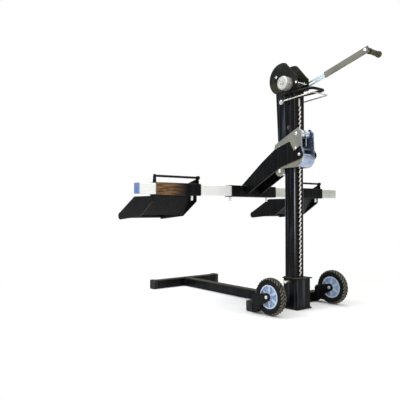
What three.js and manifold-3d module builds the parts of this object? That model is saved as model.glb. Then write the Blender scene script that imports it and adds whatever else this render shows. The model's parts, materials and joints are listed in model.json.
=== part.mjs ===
// Lawn mower lift: a wheeled mast with a hand winch, a carriage that climbs it and two tyre cradles.
// Millimetres, +Z up, +Y toward the machine that is lifted, +X to the right seen from behind.
// The origin is on the floor under the middle of the mast.

import * as THREE from 'three';
import { mergeVertices } from 'three/addons/utils/BufferGeometryUtils.js';
import Module from 'manifold-3d';

const wasm = await Module();
wasm.setup();

// Fits
const clearance = 0.3;
const overrun = 4;
const innerCornerShare = 0.2;

// Mast
const mastSide = 76;
const mastWall = 4.8;
const mastCorner = 6;
const mastTop = 1236;

// Mast socket: a plate, an inner sleeve round the mast and an outer shroud with a flange
const basePlateThickness = 8;
const basePlateMargin = 6;
const socketFit = 0.7;
const socketWall = 5;
const socketTop = 178;
const shroudWall = 5;
const shroudSideGap = 7.3;
const shroudRearGap = 18.3;
const shroudFront = 26;
const shroudTop = 170;
const flangeThickness = 6;
const flangeMargin = 9;

// Lock pin through socket and mast
const lockPinRadius = 8;
const lockPinSetback = 20;
const lockPinHeight = 157;
const lockPinLeft = 104;
const lockPinRight = 70;
const lockPinCollarRadius = 12;
const lockPinCollarLength = 4;

// Square tubes of the base
const baseTubeSide = 57;
const baseTubeWall = 3.2;
const baseTubeCorner = 5;
const crossTubeLength = 566;
const legReach = 1054;
const footBarLength = 576;
const footCapWall = 3;
const footCapEnd = 4;
const footCapSkirt = 24;
const plugHead = 3;
const plugDepth = 15;
const plugRidgeWidth = 6;
const plugRidgeHeight = 36;
const plugRidgeRise = 2;

// Wheels
const wheelRadius = 100;
const wheelEndInset = 18;
const tyreWidth = 42;
const rimRadius = 63;
const rimWidth = 36;
const rimWall = 7;
const hubDisc = 6;
const hubBossRadius = 15;
const hubBossWidth = 50;
const spokeCount = 6;
const spokeWidth = 14;
const spokeDepth = 20;
const axleRadius = 6;
const axleHeadRadius = 10;
const axleHeadHeight = 7;
const axleNutHeight = 8;
const axleTail = 4;
const tyreCrownShares = [[0, 0.76], [0.1, 0.93], [0.55, 1], [0.86, 0.9], [0.97, 0.62], [1, 0.22]];

// Wheel forks
const forkWall = 5;
const forkGap = 52;
const forkReach = 109.7;
const forkFoot = 92;
const forkBossRadius = 22;
const forkUpperShares = [[1, -0.13], [0.93, 0.02], [0.784, 0.076]];
const forkLowerShares = [[0.31, -0.467], [0.565, -0.783], [0.775, -1]];

// Latch rack on the back of the mast
const rackWidth = 12;
const rackBase = 3;
const rackToothDepth = 8;
const rackPitch = 25.4;
const rackFirstLedge = 210;
const rackTopGap = 39;
const rackPlainTop = 45;
const rackLandShare = 0.2;
const rackSlopeShare = 0.6;

// Bracket that carries the winch on the mast's top
const bracketWall = 6;
const bracketDrop = 286;
const bracketFrontTop = 97;
const bracketFrontBottom = 82;

// Push handle
const handleRadius = 8;
const handleDrop = 10;
const handleFront = 34;
const handleRear = 177;
const handleBend = 25;

// Release bail
const bailRadius = 4;
const bailPivotY = 50;
const bailPivotDrop = 52;
const bailEyeRadius = 13;
const bailHalfWidth = 64;
const bailRear = 188;
const bailRise = 14;
const bailFootShare = 0.7;
const bailNeck = 18;
const bailJog = 16;
const bailBend = 10;
const bailBoltRadius = 5;
const bailWasherRadius = 14;
const bailWasherThickness = 2;
const bailHeadRadius = 8;
const bailHeadHeight = 6;
const bailNutHeight = 5;

// Winch frame, with its drum axis as the winch's own origin
const winchY = 51;
const winchHeight = 77.4;
const winchFloor = 4;
const cheekWall = 4;
const cheekGap = 92;
const cheekRadius = 93;
const cheekChordDegrees = 113;
const cheekShoulderRadius = 40;
const cheekBackShares = [[-1.172, 0.0215], [-1.301, -0.086]];
const pawlBoltRadius = 4;
const pawlBoltHeadRadius = 7;
const pawlBoltHeadHeight = 4;

// Drum, its gear and the strap
const drumAxleRadius = 6;
const drumAxleTail = 8;
const drumCoreRadius = 20;
const drumWidth = 53;
const drumFlangeRadius = 50;
const drumFlangeThickness = 3;
const drumHubRadius = 14;
const drumEndGap = 0.5;
const gearModule = 2;
const drumGearTeeth = 50;
const pinionTeeth = 15;
const drumGearStart = 32;
const drumGearFace = 7;
const pinionOverlap = 1;
const gearAddendumShare = 1;
const gearDedendumShare = 1.25;
const toothRootShare = 0.21;
const toothTipShare = 0.1;
const strapRollRadius = 28;
const strapWidth = 46;
const strapThickness = 2.4;
const strapSlotMargin = 13;
const strapSlotSideMargin = 4;

// Pinion shaft, ratchet, pawl and brake
const pinionDegrees = 218;
const shaftRadius = 7;
const shaftLeft = 96;
const shaftHeadRadius = 12;
const shaftHeadLength = 6.7;
const shaftCollarRadius = 11;
const ratchetRadius = 24;
const ratchetTeeth = 12;
const ratchetStart = 10;
const ratchetWidth = 8;
const ratchetDepthShare = 0.2;
const winchPawlPivot = [-111, -40];
const winchPawlEyeRadius = 9;
const winchPawlTip = [42, -19];
const winchPawlSag = 13;
const winchPawlRoot = 6;
const winchPawlPoint = 2;
const brakeRadius = 39;
const brakeRearChamfer = 4;
const brakeLength = 49.7;
const brakeCapWall = 3;
const brakeBossRadius = 10;
const brakeBossLength = 7;

// Crank
const crankDegrees = 164.3;
const crankBarOffset = 84;
const crankBarThickness = 8;
const crankBarWidth = 28;
const crankBarLength = 200;
const crankRootRadius = 16;
const crankSlotStart = 40;
const crankSlotEnd = 92;
const crankSlotWidth = 12;
const crankArmWidth = 34;
const crankArmDepth = 14;
const crankArmWall = 2.6;
const crankArmCorner = 3.4;
const crankArmStart = 160;
const crankArmTail = 14;
const crankRadius = 433;
const gripBoltRadius = 5;
const gripBoltHeadRadius = 8;
const gripBoltHeadHeight = 4;
const gripCollarLength = 16;
const gripLength = 98;
const gripRadius = 15;
const gripFlareRadius = 18;
const gripProfileShares = [
  [0, 0.2], [0.02, 0.5], [0.08, 0.4], [0.3, -0.2], [0.6, -0.1], [0.84, 0.2], [0.89, 0.9], [0.97, 1],
  [1, 0.5],
];

// Carriage, with its own origin at the ledge where the latch holds it at rest
const restHeadroom = 3;
const carriageDepth = 107;
const carriageHeight = 176;
const carriagePlate = 6;
const rollerRadius = 24;
const rollerWidth = 80;
const rollerCollarRadius = 10;
const rollerCollarWidth = 8;
const rollerEndGap = 0.5;
const rollerCoreRadius = 11;
const rollerPinRadius = 6;
const rollerHeadRadius = 10;
const rollerHeadHeight = 5;
const rearRollerRise = 144;
const frontRollerDrop = 60;
const rollerLobeRadius = 31;
const carriageCorner = 50;
const carriageRearShares = [[-0.7, 1], [-0.935, 0.869]];
const carriageFrontShares = [[0.99, -0.256], [0.99, 0.3125], [0.907, 0.54]];
const webThickness = 6;
const webSetback = 1;
const webTop = 17;
const webEndDegrees = 262;
const strapAnchorRise = 80;
const strapAnchorRadius = 6;
const strapLugHeight = 20;
const strapLugThickness = 8;

// Latch pawl on the carriage
const latchPivotY = -60;
const latchPivotZ = 61;
const latchEyeRadius = 10;
const latchBoltRadius = 6;
const latchBoltHeadRadius = 8;
const latchBoltHeadHeight = 5;
const latchWidth = 16;
const latchBite = 6.3;
const latchSeatGap = 2.4;
const latchTipLength = 16;
const latchNeckRise = 20;
const latchReleaseDegrees = 12;

// Lift arm
const armPlate = 6.5;
const armHeelRadius = 24;
const armRootShare = [-0.869, 0.403];
const armKeelShare = [0.514, -0.227];
const armTopShares = [[0.902, 0.381], [-0.131, 0.58], [-0.439, 0.25]];
const armKeelRise = -15;
const armNose = -18;
const armNoseHeight = 5.7;
const armCrownShare = 0.383;
const armCrownRise = 6;
const armWebStart = 110;
const armWebEndShare = 0.96;
const armWebDepth = 8;
const armBoltY = -91;
const armBoltZ = 24;
const armBoltRadius = 6;
const armBoltHeadRadius = 9;
const armBoltHeadHeight = 7.4;

// Cross bar: a centre tube, two bars that slide in it and a sleeve on each bar
const crossBarY = 355;
const crossBarDrop = 170;
const sleeveSide = 70;
const sleeveWall = 4.5;
const sleeveCorner = 6;
const centerTubeLength = 382;
const barSide = 60;
const barWall = 4;
const barCorner = 5;
const barInnerEnd = 46;
const barOuterEnd = 836;
const clampScrewRadius = 6;
const clampHeadRadius = 7;
const clampHeadLength = 26;
const centerClampPlaces = [-178, 137];

// Tyre cradles, each with its own origin in the middle of its sleeve
const cradlePlaces = [-582.5, 521.5];
const cradleSleeveLength = 303;
const cradlePlate = 6;
const cradleClampX = 103;
const cradleClampY = -12;
const rampLip = 2;
const rampLedge = 30;
const rampThickness = 6;
const rampFootY = 131;
const rampFootZ = -140;
const weldSink = 1;
const cradleBarY = 367;
const cradleBarZ = -151;
const cradleBarRadius = 14;
const cradleNoseRadius = 22;
const cradleTopShares = [[0.545, -0.252], [0.016, -0.252]];
const cradleBottomShares = [[0.016, -0.44], [0.376, -1.007]];
const railRadius = 6.5;
const railY = -9;
const railZ = 70;
const railEyeRadius = 10;
const railRightX = 140;
const railUprightFootShare = 1.5;
const railKnobRadius = 11;
const railKnobLength = 12;
const railTail = 2;
const gussetLength = 70;
const gussetTopShare = 0.85;

// How finely round things are divided
const fineSides = 32;
const roundSides = 16;
const rodSides = 10;
const pipeSides = 8;
const hexSides = 6;
const cornerSteps = 2;
const bendSteps = 4;

// Finishes
const blackPaint = { color: 0x16181c, roughness: 0.42, metalness: 0.3 };
const zincPlate = { color: 0xb9c2cd, roughness: 0.3, metalness: 0.85 };
const brightSteel = { color: 0xc9ced4, roughness: 0.22, metalness: 0.95 };
const greyPaint = { color: 0x9da2a6, roughness: 0.5, metalness: 0.4 };
const hubPlastic = { color: 0xaab4c2, roughness: 0.5, metalness: 0.1 };
const tyreRubber = { color: 0x33322f, roughness: 0.9, metalness: 0 };
const blackPlastic = { color: 0x1a1a1b, roughness: 0.6, metalness: 0 };
const webbing = { color: 0x2a2b2d, roughness: 0.95, metalness: 0 };

// Places that follow from the sizes above
const mastHalf = mastSide / 2;
const mastBottom = basePlateThickness + clearance;
const socketHalf = mastHalf + socketFit + socketWall;
const shroudHalf = socketHalf + shroudSideGap + shroudWall;
const shroudRear = socketHalf + shroudRearGap + shroudWall;
const baseTubeZ = footCapWall + clearance + baseTubeSide / 2;
const crossTubeY = socketHalf + clearance + baseTubeSide / 2;
const wheelX = crossTubeLength / 2 - wheelEndInset;
const wheelY = socketHalf - forkReach;
const bracketHalf = mastHalf + clearance + bracketWall;
const bracketBottom = mastTop - bracketDrop;
const bracketTop = mastTop + clearance + bracketWall;
const handleX = bracketHalf + clearance + handleRadius;
const handleZ = mastTop - handleDrop;
const bailPivotZ = mastTop - bailPivotDrop;
const winchZ = bracketTop + clearance + winchHeight;
const cheekHalf = cheekGap / 2;
const cheekOuter = cheekHalf + cheekWall;
const gearDistance = gearModule * (drumGearTeeth + pinionTeeth) / 2;
const pinionAngle = THREE.MathUtils.degToRad(pinionDegrees);
const pinionY = gearDistance * Math.cos(pinionAngle);
const pinionZ = gearDistance * Math.sin(pinionAngle);
const highestAnchorZ = bracketBottom - restHeadroom - strapLugHeight;
const restLedgeCount = Math.floor((highestAnchorZ - strapAnchorRise - rackFirstLedge) / rackPitch);
const carriageZ = rackFirstLedge + restLedgeCount * rackPitch;
const rollerY = mastHalf + clearance + rollerRadius;
const carriageInner = rollerWidth / 2 + rollerCollarWidth + rollerEndGap;
const carriageOuter = carriageInner + carriagePlate;
const armInner = carriageOuter + clearance;
const armOuter = armInner + armPlate;
const strapTopY = winchY + strapRollRadius + clearance + strapThickness / 2;
const strapFootY = rollerY;
const strapFootZ = carriageZ + strapAnchorRise + strapLugHeight + clearance;
const sleeveHalf = sleeveSide / 2;
const cradlePlateOuter = cradleSleeveLength / 2;
const cradlePlateInner = cradlePlateOuter - cradlePlate;

// Outlines are lists of points, anticlockwise
function arcPoints([a, b], radius, fromDegrees, toDegrees, steps) {
  return Array.from({ length: steps + 1 }, (unused, index) => {
    const angle = THREE.MathUtils.degToRad(fromDegrees + (toDegrees - fromDegrees) * index / steps);
    return [a + radius * Math.cos(angle), b + radius * Math.sin(angle)];
  });
}

function circlePoints(centre, radius, sides) {
  return arcPoints(centre, radius, 0, 360, sides).slice(0, sides);
}

function roundedRectangle(width, height, corner, [a, b] = [0, 0]) {
  const reachA = width / 2 - corner;
  const reachB = height / 2 - corner;
  const corners = [
    [reachA, reachB, 0], [-reachA, reachB, 90], [-reachA, -reachB, 180], [reachA, -reachB, 270],
  ];
  return corners.flatMap(([da, db, start]) =>
    arcPoints([a + da, b + db], corner, start, start + 90, cornerSteps));
}

function placeShares(shares, sizeA, sizeB) {
  return shares.map(([a, b]) => [a * sizeA, b * sizeB]);
}

function shapeOf(points, holes) {
  const shape = new THREE.Shape(points.map(([a, b]) => new THREE.Vector2(a, b)));
  for (const hole of holes) {
    shape.holes.push(new THREE.Path(hole.map(([a, b]) => new THREE.Vector2(a, b))));
  }
  return shape;
}

// Prisms. Points are [y, z] along X, [x, z] along Y and [x, y] along Z
const unitX = new THREE.Vector3(1, 0, 0);
const unitY = new THREE.Vector3(0, 1, 0);
const unitZ = new THREE.Vector3(0, 0, 1);
const turnToX = new THREE.Matrix4().makeBasis(unitY, unitZ, unitX);
const turnToY = new THREE.Matrix4().makeBasis(unitX, unitZ, unitY.clone().negate());

function prism(points, length, holes) {
  return new THREE.ExtrudeGeometry(shapeOf(points, holes), { depth: length, bevelEnabled: false });
}

function prismX(points, [from, to], holes = []) {
  return prism(points, to - from, holes).applyMatrix4(turnToX).translate(from, 0, 0);
}

function prismY(points, [from, to], holes = []) {
  return prism(points, to - from, holes).applyMatrix4(turnToY).translate(0, to, 0);
}

function prismZ(points, [from, to], holes = []) {
  return prism(points, to - from, holes).translate(0, 0, from);
}

function box([x0, x1], [y0, y1], [z0, z1]) {
  return new THREE.BoxGeometry(x1 - x0, y1 - y0, z1 - z0)
    .translate((x0 + x1) / 2, (y0 + y1) / 2, (z0 + z1) / 2);
}

function rodX(radius, [from, to], y = 0, z = 0, sides = rodSides) {
  return prismX(circlePoints([y, z], radius, sides), [from, to]);
}

function rodZ(radius, [from, to], x = 0, y = 0, sides = rodSides) {
  return prismZ(circlePoints([x, y], radius, sides), [from, to]);
}

// A turned piece about X; its profile is a closed list of [radius, x]
function turnedX(profile, sides) {
  const points = [...profile, profile[0]].map(([radius, x]) => new THREE.Vector2(radius, x));
  return new THREE.LatheGeometry(points, sides).rotateZ(-Math.PI / 2);
}

function squareTube(prismAlong, side, wall, corner, range, centre = [0, 0]) {
  const innerCorner = Math.max(corner - wall, innerCornerShare * corner);
  const inner = side - 2 * wall;
  return prismAlong(roundedRectangle(side, side, corner, centre), range,
    [roundedRectangle(inner, inner, innerCorner, centre)]);
}

// Joins and cuts
function solidOf(geometry) {
  const bare = geometry.clone();
  bare.deleteAttribute('normal');
  bare.deleteAttribute('uv');
  const merged = mergeVertices(bare);
  return new wasm.Manifold(new wasm.Mesh({
    numProp: 3,
    vertProperties: merged.attributes.position.array,
    triVerts: new Uint32Array(merged.index.array),
  }));
}

function geometryOf(solid) {
  const mesh = solid.getMesh();
  const geometry = new THREE.BufferGeometry();
  geometry.setAttribute('position', new THREE.BufferAttribute(mesh.vertProperties, 3));
  geometry.setIndex(new THREE.BufferAttribute(mesh.triVerts, 1));
  geometry.computeVertexNormals();
  return geometry;
}

function join(...geometries) {
  return geometryOf(geometries.map(solidOf).reduce((whole, next) => whole.add(next)));
}

function cut(geometry, ...tools) {
  return geometryOf(tools.map(solidOf).reduce((whole, tool) => whole.subtract(tool), solidOf(geometry)));
}

// A round rod bent along points, with its corners rounded
class RodPath extends THREE.Curve {
  constructor(points, bend) {
    super();
    const corners = points.map((point) => new THREE.Vector3(...point));
    this.stops = corners.flatMap((corner, index) => {
      if (index === 0 || index === corners.length - 1) return [corner];
      const arriving = corner.clone().sub(corners[index - 1]).normalize();
      const leaving = corners[index + 1].clone().sub(corner).normalize();
      const reach = bend * Math.tan(arriving.angleTo(leaving) / 2);
      const start = corner.clone().addScaledVector(arriving, -reach);
      const end = corner.clone().addScaledVector(leaving, reach);
      return new THREE.QuadraticBezierCurve3(start, corner, end).getPoints(bendSteps);
    });
  }

  getPoint(share, target = new THREE.Vector3()) {
    const place = share * (this.stops.length - 1);
    const index = Math.min(Math.floor(place), this.stops.length - 2);
    return target.lerpVectors(this.stops[index], this.stops[index + 1], place - index);
  }

  getPointAt(share, target) {
    return this.getPoint(share, target);
  }

  getTangentAt(share, target = new THREE.Vector3()) {
    const last = this.stops.length - 1;
    const index = Math.round(share * last);
    const here = this.stops[index];
    const arriving = here.clone().sub(this.stops[Math.max(index - 1, 0)]).normalize();
    const leaving = this.stops[Math.min(index + 1, last)].clone().sub(here).normalize();
    return target.copy(arriving).add(leaving).normalize();
  }
}

// A bolt right across, with a round head on the left and its nut on the right
function crossBolt(face, radius, headRadius, headHeight, y, z) {
  return join(
    rodX(radius, [-face - headHeight, face + headHeight], y, z),
    rodX(headRadius, [-face - headHeight, -face], y, z, roundSides),
    rodX(headRadius, [face, face + headHeight], y, z, hexSides),
  );
}

function bentRod(points, radius, bend) {
  const path = new RodPath(points, bend);
  const section = shapeOf(circlePoints([0, 0], radius, pipeSides), []);
  return new THREE.ExtrudeGeometry(section, { steps: path.stops.length - 1, extrudePath: path });
}

function mirrorPoints(points) {
  return [...points, ...points.toReversed().map(([x, y, z]) => [-x, y, z])];
}

// The stretch from near to far, measured outward on the left (-1) or the right (1)
function sideRange(side, near, far) {
  return [Math.min(side * near, side * far), Math.max(side * near, side * far)];
}

function addPiece(parent, name, geometry, finish) {
  const mesh = new THREE.Mesh(geometry, new THREE.MeshStandardMaterial(finish));
  mesh.name = name;
  parent.add(mesh);
}

function addGroup(parent, x, y, z) {
  const group = new THREE.Group();
  group.position.set(x, y, z);
  parent.add(group);
  return group;
}

const lift = new THREE.Group();

// Socket: the shroud is open at the front, so nothing in it is sealed
function makeSocket() {
  const plate = box(
    [-shroudHalf - basePlateMargin, shroudHalf + basePlateMargin],
    [-shroudRear - basePlateMargin, socketHalf],
    [0, basePlateThickness],
  );
  const sleeve = box([-socketHalf, socketHalf], [-socketHalf, socketHalf],
    [basePlateThickness / 2, socketTop]);
  const shroud = cut(
    box([-shroudHalf, shroudHalf], [-shroudRear, shroudFront], [basePlateThickness / 2, shroudTop]),
    box([-shroudHalf + shroudWall, shroudHalf - shroudWall],
      [-shroudRear + shroudWall, shroudFront + overrun], [0, shroudTop + overrun]),
  );
  const flange = box(
    [-shroudHalf - flangeMargin, shroudHalf + flangeMargin],
    [-shroudRear - flangeMargin, shroudFront + flangeMargin],
    [shroudTop, shroudTop + flangeThickness],
  );
  const bore = mastHalf + socketFit;
  return cut(
    join(plate, sleeve, shroud, flange),
    box([-bore, bore], [-bore, bore], [basePlateThickness, socketTop + overrun]),
    rodX(lockPinRadius + clearance, [-shroudHalf - overrun, shroudHalf + overrun],
      -lockPinSetback, lockPinHeight, roundSides),
  );
}

function makeMast() {
  return cut(
    squareTube(prismZ, mastSide, mastWall, mastCorner, [mastBottom, mastTop]),
    rodX(lockPinRadius + clearance, [-mastSide, mastSide], -lockPinSetback, lockPinHeight, roundSides),
  );
}

function makeLockPin() {
  const collarStart = -shroudHalf - clearance - lockPinCollarLength;
  return join(
    rodX(lockPinRadius, [-lockPinLeft, lockPinRight], -lockPinSetback, lockPinHeight, roundSides),
    rodX(lockPinCollarRadius, [collarStart, collarStart + lockPinCollarLength],
      -lockPinSetback, lockPinHeight, roundSides),
  );
}

addPiece(lift, 'mast_socket', makeSocket(), blackPaint);
addPiece(lift, 'mast', makeMast(), blackPaint);
addPiece(lift, 'lock_pin', makeLockPin(), brightSteel);

// Base tubes in front of the socket: a cross tube, a leg and a foot bar
const crossTubeFront = crossTubeY + baseTubeSide / 2;
const footBarRear = legReach - baseTubeSide / 2;

function makeTubePlug(side) {
  const fit = baseTubeSide - 2 * baseTubeWall - 2 * clearance;
  const headStart = crossTubeLength / 2 + clearance;
  const centre = [crossTubeY, baseTubeZ];
  return join(
    prismX(roundedRectangle(baseTubeSide, baseTubeSide, baseTubeCorner, centre),
      sideRange(side, headStart, headStart + plugHead)),
    prismX(roundedRectangle(fit, fit, baseTubeCorner - baseTubeWall, centre),
      sideRange(side, headStart - plugDepth, headStart + plugHead / 2)),
    box(sideRange(side, headStart, headStart + plugHead + plugRidgeRise),
      [crossTubeY - plugRidgeWidth / 2, crossTubeY + plugRidgeWidth / 2],
      [baseTubeZ - plugRidgeHeight / 2, baseTubeZ + plugRidgeHeight / 2]),
  );
}

function makeFootCap(side) {
  const outer = baseTubeSide + 2 * clearance + 2 * footCapWall;
  const inner = baseTubeSide + 2 * clearance;
  const tubeEnd = footBarLength / 2 + clearance;
  const near = tubeEnd - footCapSkirt;
  const far = tubeEnd + footCapEnd;
  const centre = [legReach, baseTubeZ];
  return cut(
    prismX(roundedRectangle(outer, outer, baseTubeCorner + footCapWall, centre),
      sideRange(side, near, far)),
    prismX(roundedRectangle(inner, inner, baseTubeCorner, centre),
      sideRange(side, near - overrun, tubeEnd)),
  );
}

addPiece(lift, 'rear_cross_tube', squareTube(prismX, baseTubeSide, baseTubeWall, baseTubeCorner,
  [-crossTubeLength / 2, crossTubeLength / 2], [crossTubeY, baseTubeZ]), blackPaint);
addPiece(lift, 'tube_plug_left', makeTubePlug(-1), blackPlastic);
addPiece(lift, 'tube_plug_right', makeTubePlug(1), blackPlastic);
addPiece(lift, 'base_leg', squareTube(prismY, baseTubeSide, baseTubeWall, baseTubeCorner,
  [crossTubeFront + clearance, footBarRear - clearance], [0, baseTubeZ]), blackPaint);
addPiece(lift, 'front_foot_bar', squareTube(prismX, baseTubeSide, baseTubeWall, baseTubeCorner,
  [-footBarLength / 2, footBarLength / 2], [legReach, baseTubeZ]), blackPaint);
addPiece(lift, 'foot_cap_left', makeFootCap(-1), blackPlastic);
addPiece(lift, 'foot_cap_right', makeFootCap(1), blackPlastic);

// Wheels, each about its own centre
function makeTyre() {
  const bead = rimRadius + clearance;
  const section = wheelRadius - bead;
  const side = tyreCrownShares.map(([radial, width]) => [bead + radial * section, width * tyreWidth / 2]);
  return turnedX([...side.map(([radius, x]) => [radius, -x]), ...side.toReversed()], fineSides);
}

function makeHub() {
  const bore = axleRadius + clearance;
  const rimInner = rimRadius - rimWall;
  const half = [
    [bore, hubBossWidth / 2], [hubBossRadius, hubBossWidth / 2], [hubBossRadius, hubDisc / 2],
    [rimInner, hubDisc / 2], [rimInner, rimWidth / 2], [rimRadius, rimWidth / 2],
  ];
  const body = turnedX([...half.map(([radius, x]) => [radius, -x]), ...half.toReversed()], fineSides);
  const spokes = Array.from({ length: spokeCount }, (unused, index) =>
    box([-spokeDepth / 2, spokeDepth / 2], [-spokeWidth / 2, spokeWidth / 2],
      [(bore + hubBossRadius) / 2, rimInner + rimWall / 2])
      .rotateX(index * 2 * Math.PI / spokeCount));
  return join(body, ...spokes);
}

function makeFork() {
  const outer = forkGap / 2 + forkWall;
  const points = [
    [forkReach, -forkFoot],
    ...placeShares(forkUpperShares, forkReach, forkFoot),
    ...arcPoints([0, 0], forkBossRadius, 90, 260, cornerSteps * 4),
    ...placeShares(forkLowerShares, forkReach, forkFoot),
  ];
  return cut(
    prismX(points, [-outer, outer]),
    box([-forkGap / 2, forkGap / 2], [-forkBossRadius - overrun, forkReach - forkWall],
      [-forkFoot - overrun, forkBossRadius + overrun]),
    rodX(axleRadius + clearance, [-outer - overrun, outer + overrun]),
  );
}

// An axle bolt with its nut screwed on
function makeAxleBolt() {
  const face = forkGap / 2 + forkWall + clearance;
  return join(
    rodX(axleHeadRadius, [-face - axleHeadHeight, -face], 0, 0, hexSides),
    rodX(axleRadius, [-face - axleHeadHeight / 2, face + axleNutHeight + axleTail]),
    rodX(axleHeadRadius, [face, face + axleNutHeight], 0, 0, hexSides),
  );
}

for (const [sideName, side] of [['left', -1], ['right', 1]]) {
  const wheel = addGroup(lift, side * wheelX, wheelY, wheelRadius);
  addPiece(wheel, `tyre_${sideName}`, makeTyre(), tyreRubber);
  addPiece(wheel, `hub_${sideName}`, makeHub(), hubPlastic);
  addPiece(wheel, `wheel_fork_${sideName}`, makeFork(), blackPaint);
  addPiece(wheel, `axle_bolt_${sideName}`, makeAxleBolt(), zincPlate);
}

// Rack: every tooth has a flat ledge on top, a short land and a slope back to the root
const rackFace = -mastHalf - clearance;
const rackRoot = rackFace - rackBase;
const rackTip = rackRoot - rackToothDepth;
const rackTop = mastTop - rackTopGap;

function makeRack() {
  const toothCount = Math.floor((rackTop - rackPlainTop - rackFirstLedge) / rackPitch) + 1;
  const teeth = Array.from({ length: toothCount }, (unused, index) => {
    const ledge = rackFirstLedge + (toothCount - 1 - index) * rackPitch;
    return [
      [rackRoot, ledge],
      [rackTip, ledge],
      [rackTip, ledge - rackLandShare * rackPitch],
      [rackRoot, ledge - (rackLandShare + rackSlopeShare) * rackPitch],
    ];
  }).flat();
  return prismX([
    [rackFace, rackFirstLedge - rackPitch],
    [rackFace, rackTop],
    [rackRoot, rackTop],
    ...teeth,
    [rackRoot, rackFirstLedge - rackPitch],
  ], [-rackWidth / 2, rackWidth / 2]);
}

addPiece(lift, 'latch_rack', makeRack(), blackPaint);

// The strap runs straight from the roll on the drum down to its lug on the carriage
function strapYAt(height) {
  return strapTopY + (strapFootY - strapTopY) * (winchZ - height) / (winchZ - strapFootZ);
}

function strapSlot([from, to]) {
  const middle = strapYAt((from + to) / 2);
  const half = strapWidth / 2 + strapSlotSideMargin;
  return box([-half, half], [middle - strapSlotMargin, middle + strapSlotMargin],
    [from - overrun, to + overrun]);
}

// Bracket: two side plates and a front web, with a top plate over the mast
function makeBracket() {
  const inner = mastHalf + clearance;
  const outline = [
    [-mastHalf, bracketBottom],
    [bracketFrontBottom, bracketBottom],
    [bracketFrontTop, bracketTop],
    [-mastHalf, bracketTop],
  ];
  const hollow = [
    [-mastHalf - overrun, bracketBottom - overrun],
    [bracketFrontBottom - bracketWall, bracketBottom - overrun],
    [bracketFrontTop - bracketWall, mastTop + clearance],
    [-mastHalf - overrun, mastTop + clearance],
  ];
  return cut(
    prismX(outline, [-bracketHalf, bracketHalf]),
    prismX(hollow, [-inner, inner]),
    strapSlot([mastTop, bracketTop]),
    rodX(bailBoltRadius + clearance, [-bracketHalf - overrun, bracketHalf + overrun],
      bailPivotY, bailPivotZ),
  );
}

function makePushHandle() {
  return bentRod(mirrorPoints([
    [-handleX, handleFront, handleZ],
    [-handleX, -handleRear, handleZ],
  ]), handleRadius, handleBend);
}

addPiece(lift, 'winch_bracket', makeBracket(), blackPaint);
addPiece(lift, 'push_handle', makePushHandle(), blackPaint);

// Bail: a bent rod with an eye at each end, turning on two bolts in the bracket
const bailEyeX = bracketHalf + clearance + bailRadius;

function makeBail() {
  const rearZ = bailPivotZ + bailRise;
  const span = bailPivotY + bailRear;
  const heightAt = (y) => bailPivotZ + bailRise * (bailPivotY - y) / span;
  const neckY = bailPivotY - bailNeck;
  const jogY = neckY - bailJog;
  const rod = bentRod(mirrorPoints([
    [-bailEyeX, bailPivotY - bailFootShare * bailEyeRadius, bailPivotZ],
    [-bailEyeX, neckY, heightAt(neckY)],
    [-bailHalfWidth, jogY, heightAt(jogY)],
    [-bailHalfWidth, -bailRear, rearZ],
  ]), bailRadius, bailBend);
  const eyes = [-1, 1].map((side) => rodX(bailEyeRadius,
    [side * bailEyeX - bailRadius, side * bailEyeX + bailRadius], bailPivotY, bailPivotZ, roundSides));
  return cut(join(rod, ...eyes),
    rodX(bailBoltRadius + clearance, [-bailHalfWidth - overrun, bailHalfWidth + overrun],
      bailPivotY, bailPivotZ, roundSides));
}

// A bolt of the bail with its washer outside and its nut inside the bracket
function makeBailBolt(side) {
  const washer = bailEyeX + bailRadius + clearance;
  const head = washer + bailWasherThickness;
  const nut = mastHalf;
  const place = [bailPivotY, bailPivotZ];
  return join(
    rodX(bailWasherRadius, sideRange(side, washer, head), ...place, roundSides),
    rodX(bailHeadRadius, sideRange(side, head - bailWasherThickness / 2, head + bailHeadHeight),
      ...place, hexSides),
    rodX(bailBoltRadius, sideRange(side, nut - bailNutHeight, head), ...place),
    rodX(bailHeadRadius, sideRange(side, nut - bailNutHeight, nut), ...place, hexSides),
  );
}

addPiece(lift, 'release_bail', makeBail(), zincPlate);
addPiece(lift, 'bail_bolt_left', makeBailBolt(-1), brightSteel);
addPiece(lift, 'bail_bolt_right', makeBailBolt(1), brightSteel);

// Winch, about the drum's axis
const winch = addGroup(lift, 0, winchY, winchZ);

// The cheek's big arc, then the smaller one that rounds the shoulder where its straight back begins
function cheekArcs([backY, backZ], footDegrees) {
  const [chordY, chordZ] = arcPoints([0, 0], cheekRadius, cheekChordDegrees, cheekChordDegrees, 1)[0];
  const inward = Math.atan2(backY - chordY, chordZ - backZ);
  const chordDistance = -chordY * Math.cos(inward) - chordZ * Math.sin(inward);
  const reach = cheekRadius - cheekShoulderRadius;
  const start = THREE.MathUtils.radToDeg(inward + Math.acos((cheekShoulderRadius - chordDistance) / reach));
  const end = THREE.MathUtils.radToDeg(inward) + 180;
  const shoulder = arcPoints([0, 0], reach, start, start, 1)[0];
  return [
    ...arcPoints([0, 0], cheekRadius, footDegrees, start, fineSides / 2),
    ...arcPoints(shoulder, cheekShoulderRadius, start, end, cornerSteps * 3).slice(1),
  ];
}

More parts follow.
